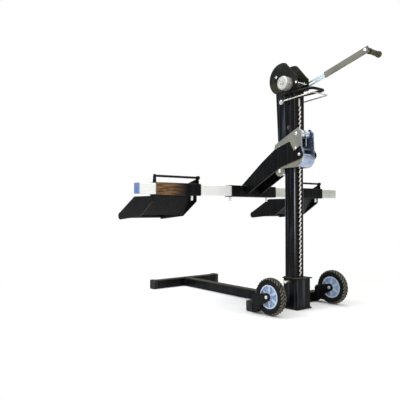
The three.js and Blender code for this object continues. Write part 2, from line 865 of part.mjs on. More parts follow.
function makeWinchFrame() {
  const footDegrees = -THREE.MathUtils.radToDeg(Math.asin(winchHeight / cheekRadius));
  const back = placeShares(cheekBackShares, cheekRadius, cheekRadius);
  const rear = back[back.length - 1][0];
  const outline = [
    ...cheekArcs(back[0], footDegrees),
    ...back,
    [rear, -winchHeight],
  ];
  const holes = [
    circlePoints([0, 0], drumAxleRadius + clearance, rodSides),
    circlePoints([pinionY, pinionZ], shaftRadius + clearance, roundSides),
    circlePoints(winchPawlPivot, pawlBoltRadius + clearance, rodSides),
  ];
  const floorFront = Math.sqrt(cheekRadius ** 2 - winchHeight ** 2);
  const slot = strapSlot([bracketTop, bracketTop + winchFloor]).translate(0, -winchY, -winchZ);
  return cut(
    join(
      prismX(outline, [-cheekOuter, -cheekHalf], holes),
      prismX(outline, [cheekHalf, cheekOuter], holes),
      box([-cheekOuter + cheekWall / 2, cheekOuter - cheekWall / 2], [rear, floorFront],
        [-winchHeight, -winchHeight + winchFloor]),
    ),
    slot,
  );
}

function makeDrum() {
  const bore = drumAxleRadius + clearance;
  const inner = drumWidth / 2;
  const outer = inner + drumFlangeThickness;
  const end = cheekHalf - drumEndGap;
  const half = [
    [bore, end], [drumHubRadius, end], [drumHubRadius, outer], [drumFlangeRadius, outer],
    [drumFlangeRadius, inner], [drumCoreRadius, inner],
  ];
  return turnedX([...half.map(([radius, x]) => [radius, -x]), ...half.toReversed()], fineSides);
}

// Gear teeth are trapezoids; a tooth's middle lies at the given phase
function gearOutline(toothCount, phase) {
  const pitchRadius = gearModule * toothCount / 2;
  const tip = pitchRadius + gearAddendumShare * gearModule;
  const root = pitchRadius - gearDedendumShare * gearModule;
  const step = 2 * Math.PI / toothCount;
  const corners = [
    [root, -toothRootShare], [tip, -toothTipShare], [tip, toothTipShare], [root, toothRootShare],
  ];
  return Array.from({ length: toothCount }, (unused, index) => corners.map(([radius, share]) => {
    const angle = phase + (index + share) * step;
    return [radius * Math.cos(angle), radius * Math.sin(angle)];
  })).flat();
}

function makeDrumGear() {
  return prismX(gearOutline(drumGearTeeth, pinionAngle), [drumGearStart, drumGearStart + drumGearFace],
    [circlePoints([0, 0], drumHubRadius + clearance, fineSides)]);
}

function makeStrapRoll() {
  return prismX(circlePoints([0, 0], strapRollRadius, fineSides),
    [-strapWidth / 2, strapWidth / 2],
    [circlePoints([0, 0], drumCoreRadius + clearance, fineSides)]);
}

function makeStrap() {
  const half = strapThickness / 2;
  return prismX([
    [strapFootY - half, strapFootZ],
    [strapFootY + half, strapFootZ],
    [strapTopY + half, winchZ],
    [strapTopY - half, winchZ],
  ], [-strapWidth / 2, strapWidth / 2]);
}

addPiece(winch, 'winch_frame', makeWinchFrame(), blackPaint);
addPiece(winch, 'pawl_bolt', crossBolt(cheekOuter + clearance, pawlBoltRadius, pawlBoltHeadRadius,
  pawlBoltHeadHeight, ...winchPawlPivot), brightSteel);
addPiece(winch, 'drum_axle', rodX(drumAxleRadius,
  [-cheekOuter - drumAxleTail, cheekOuter + drumAxleTail]), zincPlate);
addPiece(winch, 'strap_drum', makeDrum(), zincPlate);
addPiece(winch, 'drum_gear', makeDrumGear(), zincPlate);
addPiece(winch, 'strap_roll', makeStrapRoll(), webbing);
addPiece(lift, 'lift_strap', makeStrap(), webbing);

// Pinion shaft and what turns with it, about the shaft's axis
const shaft = addGroup(winch, 0, pinionY, pinionZ);
const crankOuter = crankBarOffset + crankBarThickness;

function makePinionShaft() {
  const headStart = crankOuter + clearance;
  const halfTooth = Math.PI / pinionTeeth;
  return join(
    rodX(shaftRadius, [-shaftLeft, headStart + shaftHeadLength / 2], 0, 0, roundSides),
    rodX(shaftHeadRadius, [headStart, headStart + shaftHeadLength], 0, 0, roundSides),
    rodX(shaftCollarRadius, [cheekOuter + clearance, crankBarOffset - clearance], 0, 0, roundSides),
    prismX(gearOutline(pinionTeeth, pinionAngle + Math.PI + halfTooth),
      [drumGearStart - pinionOverlap, drumGearStart + drumGearFace + pinionOverlap]),
  );
}

function makeRatchet() {
  const root = ratchetRadius * (1 - ratchetDepthShare);
  const points = Array.from({ length: ratchetTeeth }, (unused, index) => {
    const angle = index * 2 * Math.PI / ratchetTeeth;
    return [
      [root * Math.cos(angle), root * Math.sin(angle)],
      [ratchetRadius * Math.cos(angle), ratchetRadius * Math.sin(angle)],
    ];
  }).flat();
  return prismX(points, [ratchetStart, ratchetStart + ratchetWidth],
    [circlePoints([0, 0], shaftRadius + clearance, roundSides)]);
}

function makeBrakeHub() {
  const start = -cheekOuter - clearance;
  const end = start - brakeLength;
  const bore = shaftRadius + clearance;
  const body = turnedX([
    [bore, end],
    [brakeRadius - brakeRearChamfer, end],
    [brakeRadius, end + brakeRearChamfer],
    [brakeRadius, start],
    [bore, start],
  ], fineSides);
  return join(body, rodX(brakeBossRadius, [end - brakeBossLength, end + brakeCapWall], 0, 0, roundSides));
}

addPiece(shaft, 'pinion_shaft', makePinionShaft(), zincPlate);
addPiece(shaft, 'ratchet_wheel', makeRatchet(), brightSteel);
addPiece(shaft, 'brake_hub', makeBrakeHub(), zincPlate);

// Pawl of the winch: an eye on its bolt and a curved finger under the ratchet
function makeWinchPawl() {
  const [tipY, tipZ] = winchPawlTip;
  const spine = (share) => [tipY * share, tipZ * share - winchPawlSag * share * (1 - share)];
  const width = (share) => winchPawlRoot + (winchPawlPoint - winchPawlRoot) * share;
  const along = Array.from({ length: bendSteps + 1 }, (unused, index) => index / bendSteps);
  const lower = along.map((share) => [spine(share)[0], spine(share)[1] - width(share)]);
  const upper = along.toReversed().map((share) => [spine(share)[0], spine(share)[1] + width(share)]);
  const range = [ratchetStart, ratchetStart + ratchetWidth];
  return cut(
    join(prismX([...lower, ...upper], range), rodX(winchPawlEyeRadius, range, 0, 0, roundSides)),
    rodX(pawlBoltRadius + clearance, [ratchetStart - overrun, ratchetStart + ratchetWidth + overrun],
      0, 0, roundSides),
  );
}

addPiece(addGroup(winch, 0, ...winchPawlPivot), 'winch_pawl', makeWinchPawl(), brightSteel);

// Crank: its own +Y runs out along the arm
const crank = addGroup(shaft, 0, 0, 0);
crank.rotation.x = THREE.MathUtils.degToRad(crankDegrees);
const crankArmMiddle = crankBarOffset + crankBarThickness / 2;

function makeCrankSocket() {
  const range = [crankBarOffset, crankOuter];
  const half = crankSlotWidth / 2;
  const slot = [
    ...arcPoints([crankSlotEnd - half, 0], half, -90, 90, cornerSteps * 2),
    ...arcPoints([crankSlotStart + half, 0], half, 90, 270, cornerSteps * 2),
  ];
  return cut(
    join(
      rodX(crankRootRadius, range, 0, 0, roundSides),
      box(range, [0, crankBarLength], [-crankBarWidth / 2, crankBarWidth / 2]),
    ),
    prismX(slot, [crankBarOffset - overrun, crankOuter + overrun]),
    rodX(shaftRadius + clearance, [crankBarOffset - overrun, crankOuter + overrun], 0, 0, roundSides),
  );
}

function makeCrankArm() {
  const inner = [crankArmDepth - 2 * crankArmWall, crankArmWidth - 2 * crankArmWall];
  const innerCorner = crankArmCorner - crankArmWall;
  const centre = [crankArmMiddle, 0];
  return cut(
    prismY(roundedRectangle(crankArmDepth, crankArmWidth, crankArmCorner, centre),
      [crankArmStart, crankRadius + crankArmTail],
      [roundedRectangle(...inner, innerCorner, centre)]),
    rodX(gripBoltRadius + clearance, [crankBarOffset - crankArmDepth, crankOuter + crankArmDepth],
      crankRadius),
  );
}

const gripCollarStart = crankArmMiddle + crankArmDepth / 2 + clearance;
const gripStart = gripCollarStart + gripCollarLength + clearance;
const gripEnd = gripStart + gripLength;

function makeGripBolt() {
  const headEnd = crankArmMiddle - crankArmDepth / 2 - clearance;
  return join(
    rodX(gripBoltHeadRadius, [headEnd - gripBoltHeadHeight, headEnd], 0, 0, hexSides),
    rodX(gripBoltRadius, [headEnd - gripBoltHeadHeight / 2, gripEnd + clearance + gripBoltHeadHeight / 2]),
    rodX(gripBoltHeadRadius, [gripCollarStart, gripCollarStart + gripCollarLength]),
    rodX(gripBoltHeadRadius, [gripEnd + clearance, gripEnd + clearance + gripBoltHeadHeight]),
  );
}

function makeGrip() {
  const bore = gripBoltRadius + clearance;
  const swell = gripFlareRadius - gripRadius;
  const skin = gripProfileShares.map(([along, out]) =>
    [gripRadius + out * swell, gripStart + along * gripLength]);
  return turnedX([[bore, gripStart], ...skin, [bore, gripEnd]], roundSides);
}

addPiece(crank, 'crank_socket', makeCrankSocket(), zincPlate);
addPiece(crank, 'crank_arm', makeCrankArm(), greyPaint);
const grip = addGroup(crank, 0, crankRadius, 0);
addPiece(grip, 'grip_bolt', makeGripBolt(), brightSteel);
addPiece(grip, 'crank_grip', makeGrip(), blackPlastic);

// Carriage, about the mast's centre line at the resting ledge
const carriage = addGroup(lift, 0, 0, carriageZ);
const armHoles = [[armBoltY, armBoltZ, armBoltRadius]];
const plateHoles = [
  [-rollerY, rearRollerRise, rollerPinRadius],
  [rollerY, -frontRollerDrop, rollerPinRadius],
  [strapFootY, strapAnchorRise, strapAnchorRadius],
  [latchPivotY, latchPivotZ, latchBoltRadius],
  ...armHoles,
];
const holeOutlines = (holes) => holes.map(([y, z, radius]) =>
  circlePoints([y, z], radius + clearance, rodSides));

// Two side plates joined at the back by a web that bends forward under them
function makeCarriageFrame() {
  const front = placeShares(carriageFrontShares, carriageDepth, carriageHeight);
  const corner = [carriageCorner - carriageDepth, carriageCorner + front[0][1]];
  const rear = [
    ...placeShares(carriageRearShares, carriageDepth, carriageHeight),
    ...arcPoints(corner, carriageCorner, 180, 270, cornerSteps * 3),
  ];
  const lobeRise = (front[0][1] + frontRollerDrop) / rollerLobeRadius;
  const lobeDegrees = THREE.MathUtils.radToDeg(Math.asin(lobeRise));
  const lobe = arcPoints([rollerY, -frontRollerDrop], rollerLobeRadius, 180 - lobeDegrees,
    360 + lobeDegrees, cornerSteps * 4);
  const outline = [...rear, ...lobe, ...front];
  const webHalf = carriageInner + carriagePlate / 2;
  const webOuter = carriageCorner - webSetback;
  const webInner = webOuter - webThickness;
  const web = [
    [corner[0] - webOuter, webTop],
    ...arcPoints(corner, webOuter, 180, webEndDegrees, cornerSteps * 3),
    ...arcPoints(corner, webInner, webEndDegrees, 180, cornerSteps * 3),
    [corner[0] - webInner, webTop],
  ];
  return join(
    prismX(outline, [-carriageOuter, -carriageInner], holeOutlines(plateHoles)),
    prismX(outline, [carriageInner, carriageOuter], holeOutlines(plateHoles)),
    prismX(web, [-webHalf, webHalf]),
  );
}

function makeRoller(coreRadius) {
  const bore = rollerPinRadius + clearance;
  const land = rollerWidth / 2;
  const end = land + rollerCollarWidth;
  const core = rackWidth / 2 + rackBase / 2;
  const collar = [[bore, end], [rollerCollarRadius, end], [rollerCollarRadius, land], [rollerRadius, land]];
  const waist = coreRadius < rollerRadius ? [[rollerRadius, core], [coreRadius, core]] : [];
  const half = [...collar, ...waist];
  return turnedX([...half.map(([radius, x]) => [radius, -x]), ...half.toReversed()], roundSides);
}

function makeRollerPin(y, z) {
  return crossBolt(carriageOuter + clearance, rollerPinRadius, rollerHeadRadius, rollerHeadHeight, y, z);
}

function makeStrapAnchor() {
  return join(
    rodX(strapAnchorRadius, [-carriageOuter, carriageOuter], strapFootY, strapAnchorRise),
    box([-strapWidth / 2, strapWidth / 2],
      [strapFootY - strapLugThickness / 2, strapFootY + strapLugThickness / 2],
      [strapAnchorRise, strapAnchorRise + strapLugHeight]),
  );
}

addPiece(carriage, 'carriage_frame', makeCarriageFrame(), zincPlate);
addPiece(carriage, 'roller_pin_rear', makeRollerPin(-rollerY, rearRollerRise), brightSteel);
addPiece(carriage, 'roller_pin_front', makeRollerPin(rollerY, -frontRollerDrop), brightSteel);
addPiece(carriage, 'strap_anchor', makeStrapAnchor(), zincPlate);
addPiece(addGroup(carriage, 0, -rollerY, rearRollerRise), 'roller_rear',
  makeRoller(rollerCoreRadius), brightSteel);
addPiece(addGroup(carriage, 0, rollerY, -frontRollerDrop), 'roller_front',
  makeRoller(rollerRadius), brightSteel);

// Latch pawl: drawn engaged under a ledge, then swung back to its released rest
function makeLatchPawl() {
  const tipY = rackRoot - latchPivotY + rackToothDepth - latchBite;
  const rackSide = rackTip - latchPivotY - latchSeatGap;
  const tipZ = latchSeatGap - latchPivotZ;
  const half = latchWidth / 2;
  return cut(
    join(
      rodX(latchEyeRadius, [-half, half], 0, 0, roundSides),
      prismX([
        [tipY - latchTipLength, tipZ],
        [tipY - rackToothDepth + latchBite, tipZ],
        [rackSide, tipZ + latchNeckRise],
        [rackSide, 0],
        [-latchEyeRadius, 0],
      ], [-half, half]),
    ),
    rodX(latchBoltRadius + clearance, [-half - overrun, half + overrun], 0, 0, roundSides),
  );
}

const latch = addGroup(carriage, 0, latchPivotY, latchPivotZ);
latch.rotation.x = -THREE.MathUtils.degToRad(latchReleaseDegrees);
addPiece(latch, 'latch_pawl', makeLatchPawl(), brightSteel);

// Lift arm: two side plates and a web on top, from the carriage out to the centre tube
const crossBarTop = sleeveHalf - crossBarDrop + clearance;
const armNosePoint = [crossBarY + sleeveHalf + armNose, crossBarTop + armNoseHeight];
const [armShoulder, ...armRear] = placeShares(armTopShares, carriageDepth, carriageHeight);
const armCrown = armShoulder.map((place, index) =>
  place + armCrownShare * (armNosePoint[index] - place) + index * armCrownRise);

function armEdgeHeight(y) {
  const [from, to] = y < armCrown[0] ? [armShoulder, armCrown] : [armCrown, armNosePoint];
  return from[1] + (to[1] - from[1]) * (y - from[0]) / (to[0] - from[0]);
}

function makeLiftArm() {
  const tubeRear = crossBarY - sleeveHalf - clearance;
  const [root, keel] = placeShares([armRootShare, armKeelShare], carriageDepth, carriageHeight);
  const outline = [
    root,
    ...arcPoints([armBoltY, armBoltZ], armHeelRadius, 130, 250, cornerSteps * 2),
    keel,
    [tubeRear, -crossBarDrop + armKeelRise],
    [tubeRear, crossBarTop],
    [armNosePoint[0], crossBarTop],
    armNosePoint,
    armCrown,
    armShoulder,
    ...armRear,
  ];
  const webEnd = armWebEndShare * armNosePoint[0];
  const edge = [armWebStart, armCrown[0], webEnd].map((y) => [y, armEdgeHeight(y)]);
  const web = [...edge.map(([y, z]) => [y, z - armWebDepth]), ...edge.toReversed()];
  const holes = holeOutlines(armHoles);
  const webHalf = armInner + armPlate / 2;
  return join(
    prismX(outline, [-armOuter, -armInner], holes),
    prismX(outline, [armInner, armOuter], holes),
    prismX(web, [-webHalf, webHalf]),
  );
}

addPiece(carriage, 'lift_arm', makeLiftArm(), blackPaint);
addPiece(carriage, 'arm_bolt', crossBolt(armOuter + clearance, armBoltRadius, armBoltHeadRadius,
  armBoltHeadHeight, armBoltY, armBoltZ), zincPlate);
addPiece(carriage, 'latch_pin', crossBolt(carriageOuter + clearance, latchBoltRadius,
  latchBoltHeadRadius, latchBoltHeadHeight, latchPivotY, latchPivotZ), brightSteel);

// Cross bar
const crossBar = addGroup(carriage, 0, crossBarY, -crossBarDrop);

function sleeve(range, screwPlaces) {
  const holes = screwPlaces.map(([x, y]) =>
    rodZ(clampScrewRadius + clearance, [-sleeveHalf - overrun, 0], x, y));
  return cut(squareTube(prismX, sleeveSide, sleeveWall, sleeveCorner, range), ...holes);
}

function clampScrew(x, y) {
  const under = -sleeveHalf - clearance;
  return join(
    rodZ(clampScrewRadius, [under - clampHeadLength / 2, -barSide / 2 - clearance], x, y),
    rodZ(clampHeadRadius, [under - clampHeadLength, under], x, y, roundSides),
  );
}

function makeSlideBar(side) {
  return join(
    squareTube(prismX, barSide, barWall, barCorner, sideRange(side, barInnerEnd, barOuterEnd)),
    prismX(roundedRectangle(barSide, barSide, barCorner),
      sideRange(side, barOuterEnd - barWall, barOuterEnd)),
  );
}

addPiece(crossBar, 'cross_tube_center',
  sleeve([-centerTubeLength / 2, centerTubeLength / 2], centerClampPlaces.map((x) => [x, 0])), blackPaint);
addPiece(crossBar, 'center_clamp_left', clampScrew(centerClampPlaces[0], 0), brightSteel);
addPiece(crossBar, 'center_clamp_right', clampScrew(centerClampPlaces[1], 0), brightSteel);
addPiece(crossBar, 'slide_bar_left', makeSlideBar(-1), zincPlate);
addPiece(crossBar, 'slide_bar_right', makeSlideBar(1), zincPlate);

// Cradles: a sleeve with the rail's uprights on top, and under it a frame that holds a tyre
function makeCradleSleeve() {
  const foot = sleeveHalf - sleeveWall / 2;
  const footHalf = railUprightFootShare * railEyeRadius;
  const upright = (range) => prismX([
    [railY - footHalf, foot],
    [railY + footHalf, foot],
    ...arcPoints([railY, railZ], railEyeRadius, 0, 180, cornerSteps * 3),
  ], range, [circlePoints([railY, railZ], railRadius + clearance, rodSides)]);
  const gussetTop = sleeveHalf + gussetTopShare * (railZ - sleeveHalf);
  const gusset = prismY([
    [railRightX - gussetLength, foot],
    [railRightX + cradlePlate / 2, foot],
    [railRightX + cradlePlate / 2, gussetTop],
  ], [railY - cradlePlate / 2, railY + cradlePlate / 2]);
  return cut(
    join(
      sleeve([-cradlePlateOuter, cradlePlateOuter], [[cradleClampX, cradleClampY]]),
      upright([-cradlePlateOuter, -cradlePlateInner]),
      upright([railRightX, railRightX + cradlePlate]),
      gusset,
    ),
    rodX(railRadius + clearance, [-cradlePlateOuter - overrun, cradlePlateOuter + overrun], railY, railZ),
  );
}

function makeCradleFrame() {
  const top = -sleeveHalf + weldSink;
  const slope = Math.atan2(top - rampFootZ, rampFootY - rampLedge);
  const offsetY = rampThickness * Math.sin(slope);
  const offsetZ = rampThickness * Math.cos(slope);
  const bendY = rampThickness * Math.tan(slope / 2);
  const ramp = prismX([
    [rampLip, top - rampThickness],
    [rampLedge - bendY, top - rampThickness],
    [rampFootY - offsetY, rampFootZ - offsetZ],
    [rampFootY, rampFootZ],
    [rampLedge, top],
    [rampLip, top],
  ], [-cradlePlateOuter + cradlePlate / 2, cradlePlateOuter - cradlePlate / 2]);
  const reach = [cradleBarY, -cradleBarZ];
  const outline = [
    ...placeShares(cradleBottomShares, ...reach),
    ...arcPoints([cradleBarY, cradleBarZ], cradleNoseRadius, -90, 90, cornerSteps * 3),
    ...placeShares(cradleTopShares, ...reach),
  ];
  return join(
    ramp,
    prismX(outline, [-cradlePlateOuter, -cradlePlateInner]),
    prismX(outline, [cradlePlateInner, cradlePlateOuter]),
    rodX(cradleBarRadius, [-cradlePlateInner - cradlePlate / 2, cradlePlateInner + cradlePlate / 2],
      cradleBarY, cradleBarZ, roundSides),
  );
}

function makeRail() {
  const knobStart = railRightX + cradlePlate + clearance;
  return join(
    rodX(railRadius, [-cradlePlateOuter - railTail, knobStart + railKnobLength / 2], railY, railZ),
    rodX(railKnobRadius, [knobStart, knobStart + railKnobLength], railY, railZ, roundSides),
  );
}

for (const [sideName, place] of [['left', cradlePlaces[0]], ['right', cradlePlaces[1]]]) {
  const cradle = addGroup(crossBar, place, 0, 0);
  addPiece(cradle, `cradle_${sideName}`, join(makeCradleSleeve(), makeCradleFrame()), blackPaint);
  addPiece(cradle, `cradle_rail_${sideName}`, makeRail(), blackPaint);
  addPiece(cradle, `cradle_clamp_${sideName}`, clampScrew(cradleClampX, cradleClampY), brightSteel);
}

export default lift;
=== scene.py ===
# %% [markdown]
# # Dressing a lawn mower lift
# The lift is a square steel mast on a wheeled base. A hand winch on top pulls a carriage up the mast,
# and the carriage carries two cradles on bars that slide out to either side.
# The parts arrive as faceted solids that already have their true sizes and joints.
# This lesson gives them the surfaces of the real thing: powder coat, zinc plate, rubber and webbing.
# All lengths are in metres. X runs to the right seen from behind, Y to the front and Z up.

import json
import math
import random

import bmesh
import bpy
from mathutils import Matrix, Vector

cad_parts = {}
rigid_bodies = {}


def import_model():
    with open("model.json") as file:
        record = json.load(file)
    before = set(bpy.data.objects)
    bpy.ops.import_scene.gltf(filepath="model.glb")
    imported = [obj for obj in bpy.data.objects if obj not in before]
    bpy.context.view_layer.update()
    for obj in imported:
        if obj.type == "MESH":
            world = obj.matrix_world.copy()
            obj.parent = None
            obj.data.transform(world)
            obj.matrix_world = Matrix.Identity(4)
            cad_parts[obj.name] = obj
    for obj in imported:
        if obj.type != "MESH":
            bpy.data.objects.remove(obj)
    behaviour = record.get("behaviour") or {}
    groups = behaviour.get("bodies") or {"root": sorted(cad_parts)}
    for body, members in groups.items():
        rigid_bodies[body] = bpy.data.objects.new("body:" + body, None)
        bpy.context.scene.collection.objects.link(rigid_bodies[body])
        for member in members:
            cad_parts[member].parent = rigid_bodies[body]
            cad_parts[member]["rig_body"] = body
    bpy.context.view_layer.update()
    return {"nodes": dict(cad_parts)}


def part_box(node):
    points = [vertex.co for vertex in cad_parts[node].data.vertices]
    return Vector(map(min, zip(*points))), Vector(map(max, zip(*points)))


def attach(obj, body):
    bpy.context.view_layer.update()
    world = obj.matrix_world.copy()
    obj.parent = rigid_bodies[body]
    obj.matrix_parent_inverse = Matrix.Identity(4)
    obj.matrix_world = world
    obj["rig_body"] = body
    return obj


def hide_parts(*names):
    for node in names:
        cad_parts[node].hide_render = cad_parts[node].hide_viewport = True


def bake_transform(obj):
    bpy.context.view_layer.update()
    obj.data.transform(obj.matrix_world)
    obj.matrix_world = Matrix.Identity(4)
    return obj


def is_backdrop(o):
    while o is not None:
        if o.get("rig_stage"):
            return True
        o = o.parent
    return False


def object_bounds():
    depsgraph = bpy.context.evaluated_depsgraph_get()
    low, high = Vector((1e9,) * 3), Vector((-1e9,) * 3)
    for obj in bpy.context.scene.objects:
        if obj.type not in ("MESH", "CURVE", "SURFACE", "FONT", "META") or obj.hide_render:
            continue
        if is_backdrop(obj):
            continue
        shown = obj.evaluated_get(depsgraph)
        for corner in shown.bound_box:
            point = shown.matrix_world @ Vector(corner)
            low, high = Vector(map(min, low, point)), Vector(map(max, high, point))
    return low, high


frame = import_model()
scene = bpy.context.scene

# %% [markdown]
# ## Camera and light
# The camera stands behind the lift and to its left, just above knee height, and looks almost level.
# Black paint shows its shape only by what it reflects. So beside three big soft lamps there is a tall
# narrow one on the left, which draws a cool line down each rounded upright corner; on the mast a
# painted highlight adds to that line.

# %% Camera
CAMERA_PLACE = (-2.155, -1.8645, 0.5612)
CAMERA_PITCH = 1.14
CAMERA_YAW = 38.15
CAMERA_LENS = 43.66
CAMERA_SENSOR = 36

lens = bpy.data.cameras.new("camera")
lens.lens = CAMERA_LENS
lens.sensor_width = CAMERA_SENSOR
camera = bpy.data.objects.new("camera", lens)
camera.location = CAMERA_PLACE
camera.rotation_euler = (math.radians(90 + CAMERA_PITCH), 0, math.radians(-CAMERA_YAW))
scene.collection.objects.link(camera)
scene.camera = camera
scene.view_settings.view_transform = "Standard"
print("camera at", CAMERA_PLACE)

# %% Lamps
# Each lamp has a place, a width and a height, a power in watts and a slight tint.
LAMPS = {
    "left_softbox": ((-2.6, 1.2, 3.0), (1.8, 1.8), 58, (0.92, 0.96, 1.0)),
    "overhead_softbox": ((0.2, 0.2, 3.6), (2.4, 2.4), 52, (1.0, 1.0, 1.0)),
    "left_strip": ((-3.3, -0.7, 1.25), (0.35, 2.4), 20, (0.72, 0.84, 1.0)),
    "rear_softbox": ((1.2, -3.2, 2.4), (1.4, 1.4), 26, (1.0, 0.95, 0.84)),
}
LAMP_TARGET = Vector((0, 0.3, 0.7))

for name, (place, (width, height), power, tint) in LAMPS.items():
    lamp = bpy.data.lights.new(name, "AREA")
    lamp.shape = "RECTANGLE"
    lamp.size = width
    lamp.size_y = height
    lamp.energy = power
    lamp.color = tint
    holder = bpy.data.objects.new(name, lamp)
    holder.location = place
    holder.rotation_euler = (LAMP_TARGET - Vector(place)).to_track_quat("-Z", "Y").to_euler()
    scene.collection.objects.link(holder)
print("lamps:", ", ".join(LAMPS))

# %% [markdown]
# ## Writing shader maths as Python
# A material is a graph of nodes, and long graphs are easier to read as formulas.
# `Value` wraps one output of a node, so that `1 - mask` or `noise * 0.3` adds the Math node it needs.
# Colours go through a Mix node, because a Math node would turn them grey.

# %% Values and node trees
class Value:
    """One output of a node, which can be used in sums."""

    def __init__(self, tree, output):
        self.tree = tree
        self.output = output

    def math(self, operation, *inputs, clamp=False):
        settings = {"operation": operation, "use_clamp": clamp}
        return self.tree.node("ShaderNodeMath", settings, dict(enumerate(inputs)))

    def __add__(self, other):
        return self.math("ADD", self, other)

    def __sub__(self, other):
        return self.math("SUBTRACT", self, other)

    def __rsub__(self, other):
        return self.math("SUBTRACT", other, self)

    def __mul__(self, other):
        return self.math("MULTIPLY", self, other)

    __radd__ = __add__

    def clamped(self):
        """The same value, held between 0 and 1."""
        return self.math("ADD", self, 0, clamp=True)

    def step(self, low, high):
        """0 below low and 1 above high, with a soft rise between."""
        settings = {"interpolation_type": "SMOOTHSTEP"}
        return self.tree.node("ShaderNodeMapRange", settings, {0: self, 1: low, 2: high})


class NodeTree:
    """The node graph of a material or a world."""

    def __init__(self, tree):
        self.tree = tree
        tree.nodes.clear()

    def node(self, kind, settings=None, inputs=None, output=0):
        """Adds a node, sets it up and gives back one of its outputs."""
        node = self.tree.nodes.new(kind)
        for name, setting in (settings or {}).items():
            setattr(node, name, setting)
        for socket, value in (inputs or {}).items():
            if isinstance(value, Value):
                self.tree.links.new(value.output, node.inputs[socket])
            else:
                node.inputs[socket].default_value = value
        return Value(self, node.outputs[output]) if len(node.outputs) else None

    def mix(self, first, second, share):
        """The colour that is first at share 0 and second at share 1."""
        return self.node("ShaderNodeMix", {"data_type": "RGBA"}, {0: share, 6: first, 7: second}, 2)

    def part(self, vector, axis):
        """The X, Y or Z part of a vector."""
        return self.node("ShaderNodeSeparateXYZ", None, {0: vector}, axis)

    def noise(self, scale, detail=2, place=None, roughness=0.5):
        """A cloudy texture from 0 to 1; a bigger scale makes smaller clouds."""
        inputs = {"Scale": scale, "Detail": detail, "Roughness": roughness}
        inputs["Vector"] = place or self.place
        return self.node("ShaderNodeTexNoise", None, inputs)


print("shader helpers ready")

# %% [markdown]
# ## A floor that fades into white
# The floor is a pale diffuse plane near the lift, so it takes a soft shadow. Further out it turns into
# plain white light, and the world shows the same white to the camera, so no horizon can be seen.
# Mirror-like surfaces see that white overhead, but a greyer band near the horizon, as the far walls
# of a room would give. Without it steel would look like paper and black paint like slate.

# %% World
SKY_FOR_LIGHT = (0.62, 0.62, 0.62, 1)
SKY_ABOVE = (0.97, 0.98, 1.0, 1)
SKY_BAND = (0.36, 0.37, 0.38, 1)
SKY_RISE = (0.08, 0.62)
WHITE = (1, 1, 1, 1)

world = bpy.data.worlds.new("studio")
world.use_nodes = True
scene.world = world
sky = NodeTree(world.node_tree)
direction = sky.node("ShaderNodeTexCoord", output="Generated")
sky_seen_in_gloss = sky.mix(SKY_BAND, SKY_ABOVE, sky.part(direction, "Z").step(*SKY_RISE))
camera_ray = sky.node("ShaderNodeLightPath", output="Is Camera Ray")
gloss_ray = sky.node("ShaderNodeLightPath", output="Is Glossy Ray")
sky_seen = sky.mix(sky.mix(SKY_FOR_LIGHT, sky_seen_in_gloss, gloss_ray), WHITE, camera_ray)
background = sky.node("ShaderNodeBackground", None, {"Color": sky_seen, "Strength": 1.0})
sky.node("ShaderNodeOutputWorld", None, {"Surface": background})
print("world ready")

# %% Floor
FLOOR_HALF = 14
FLOOR_MIDDLE = (0, 0.3, 0)
FLOOR_FADE = (0.8, 1.9)
FLOOR_COLOUR = (0.96, 0.955, 0.95, 1)

floor_material = bpy.data.materials.new("floor")
floor_material.use_nodes = True
ground = NodeTree(floor_material.node_tree)
ground.place = ground.node("ShaderNodeTexCoord", output="Object")
distance = ground.node("ShaderNodeVectorMath", {"operation": "LENGTH"}, {0: ground.place}, "Value")
matt = ground.node("ShaderNodeBsdfDiffuse", None, {"Color": FLOOR_COLOUR})
white = ground.node("ShaderNodeEmission", None, {"Color": WHITE, "Strength": 1.0})
surface = ground.node("ShaderNodeMixShader", None, {0: distance.step(*FLOOR_FADE), 1: matt, 2: white})
ground.node("ShaderNodeOutputMaterial", None, {"Surface": surface})

corners = [(-FLOOR_HALF, -FLOOR_HALF, 0), (FLOOR_HALF, -FLOOR_HALF, 0),
           (FLOOR_HALF, FLOOR_HALF, 0), (-FLOOR_HALF, FLOOR_HALF, 0)]
floor_mesh = bpy.data.meshes.new("floor")
floor_mesh.from_pydata(corners, [], [(0, 1, 2, 3)])
floor_mesh.materials.append(floor_material)
floor = bpy.data.objects.new("floor", floor_mesh)
floor.location = FLOOR_MIDDLE
scene.collection.objects.link(floor)
floor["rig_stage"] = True
print("floor ready")

# %% [markdown]
# ## Finishes
# Every finish starts from the same things: where a point lies on the piece, which way its face looks,
# a cloudy noise for the uneven colour of handled metal, and a mask of the worn edges. The mask is
# written into the mesh when its edges are rounded, so the wear sits exactly on the corners that rub.

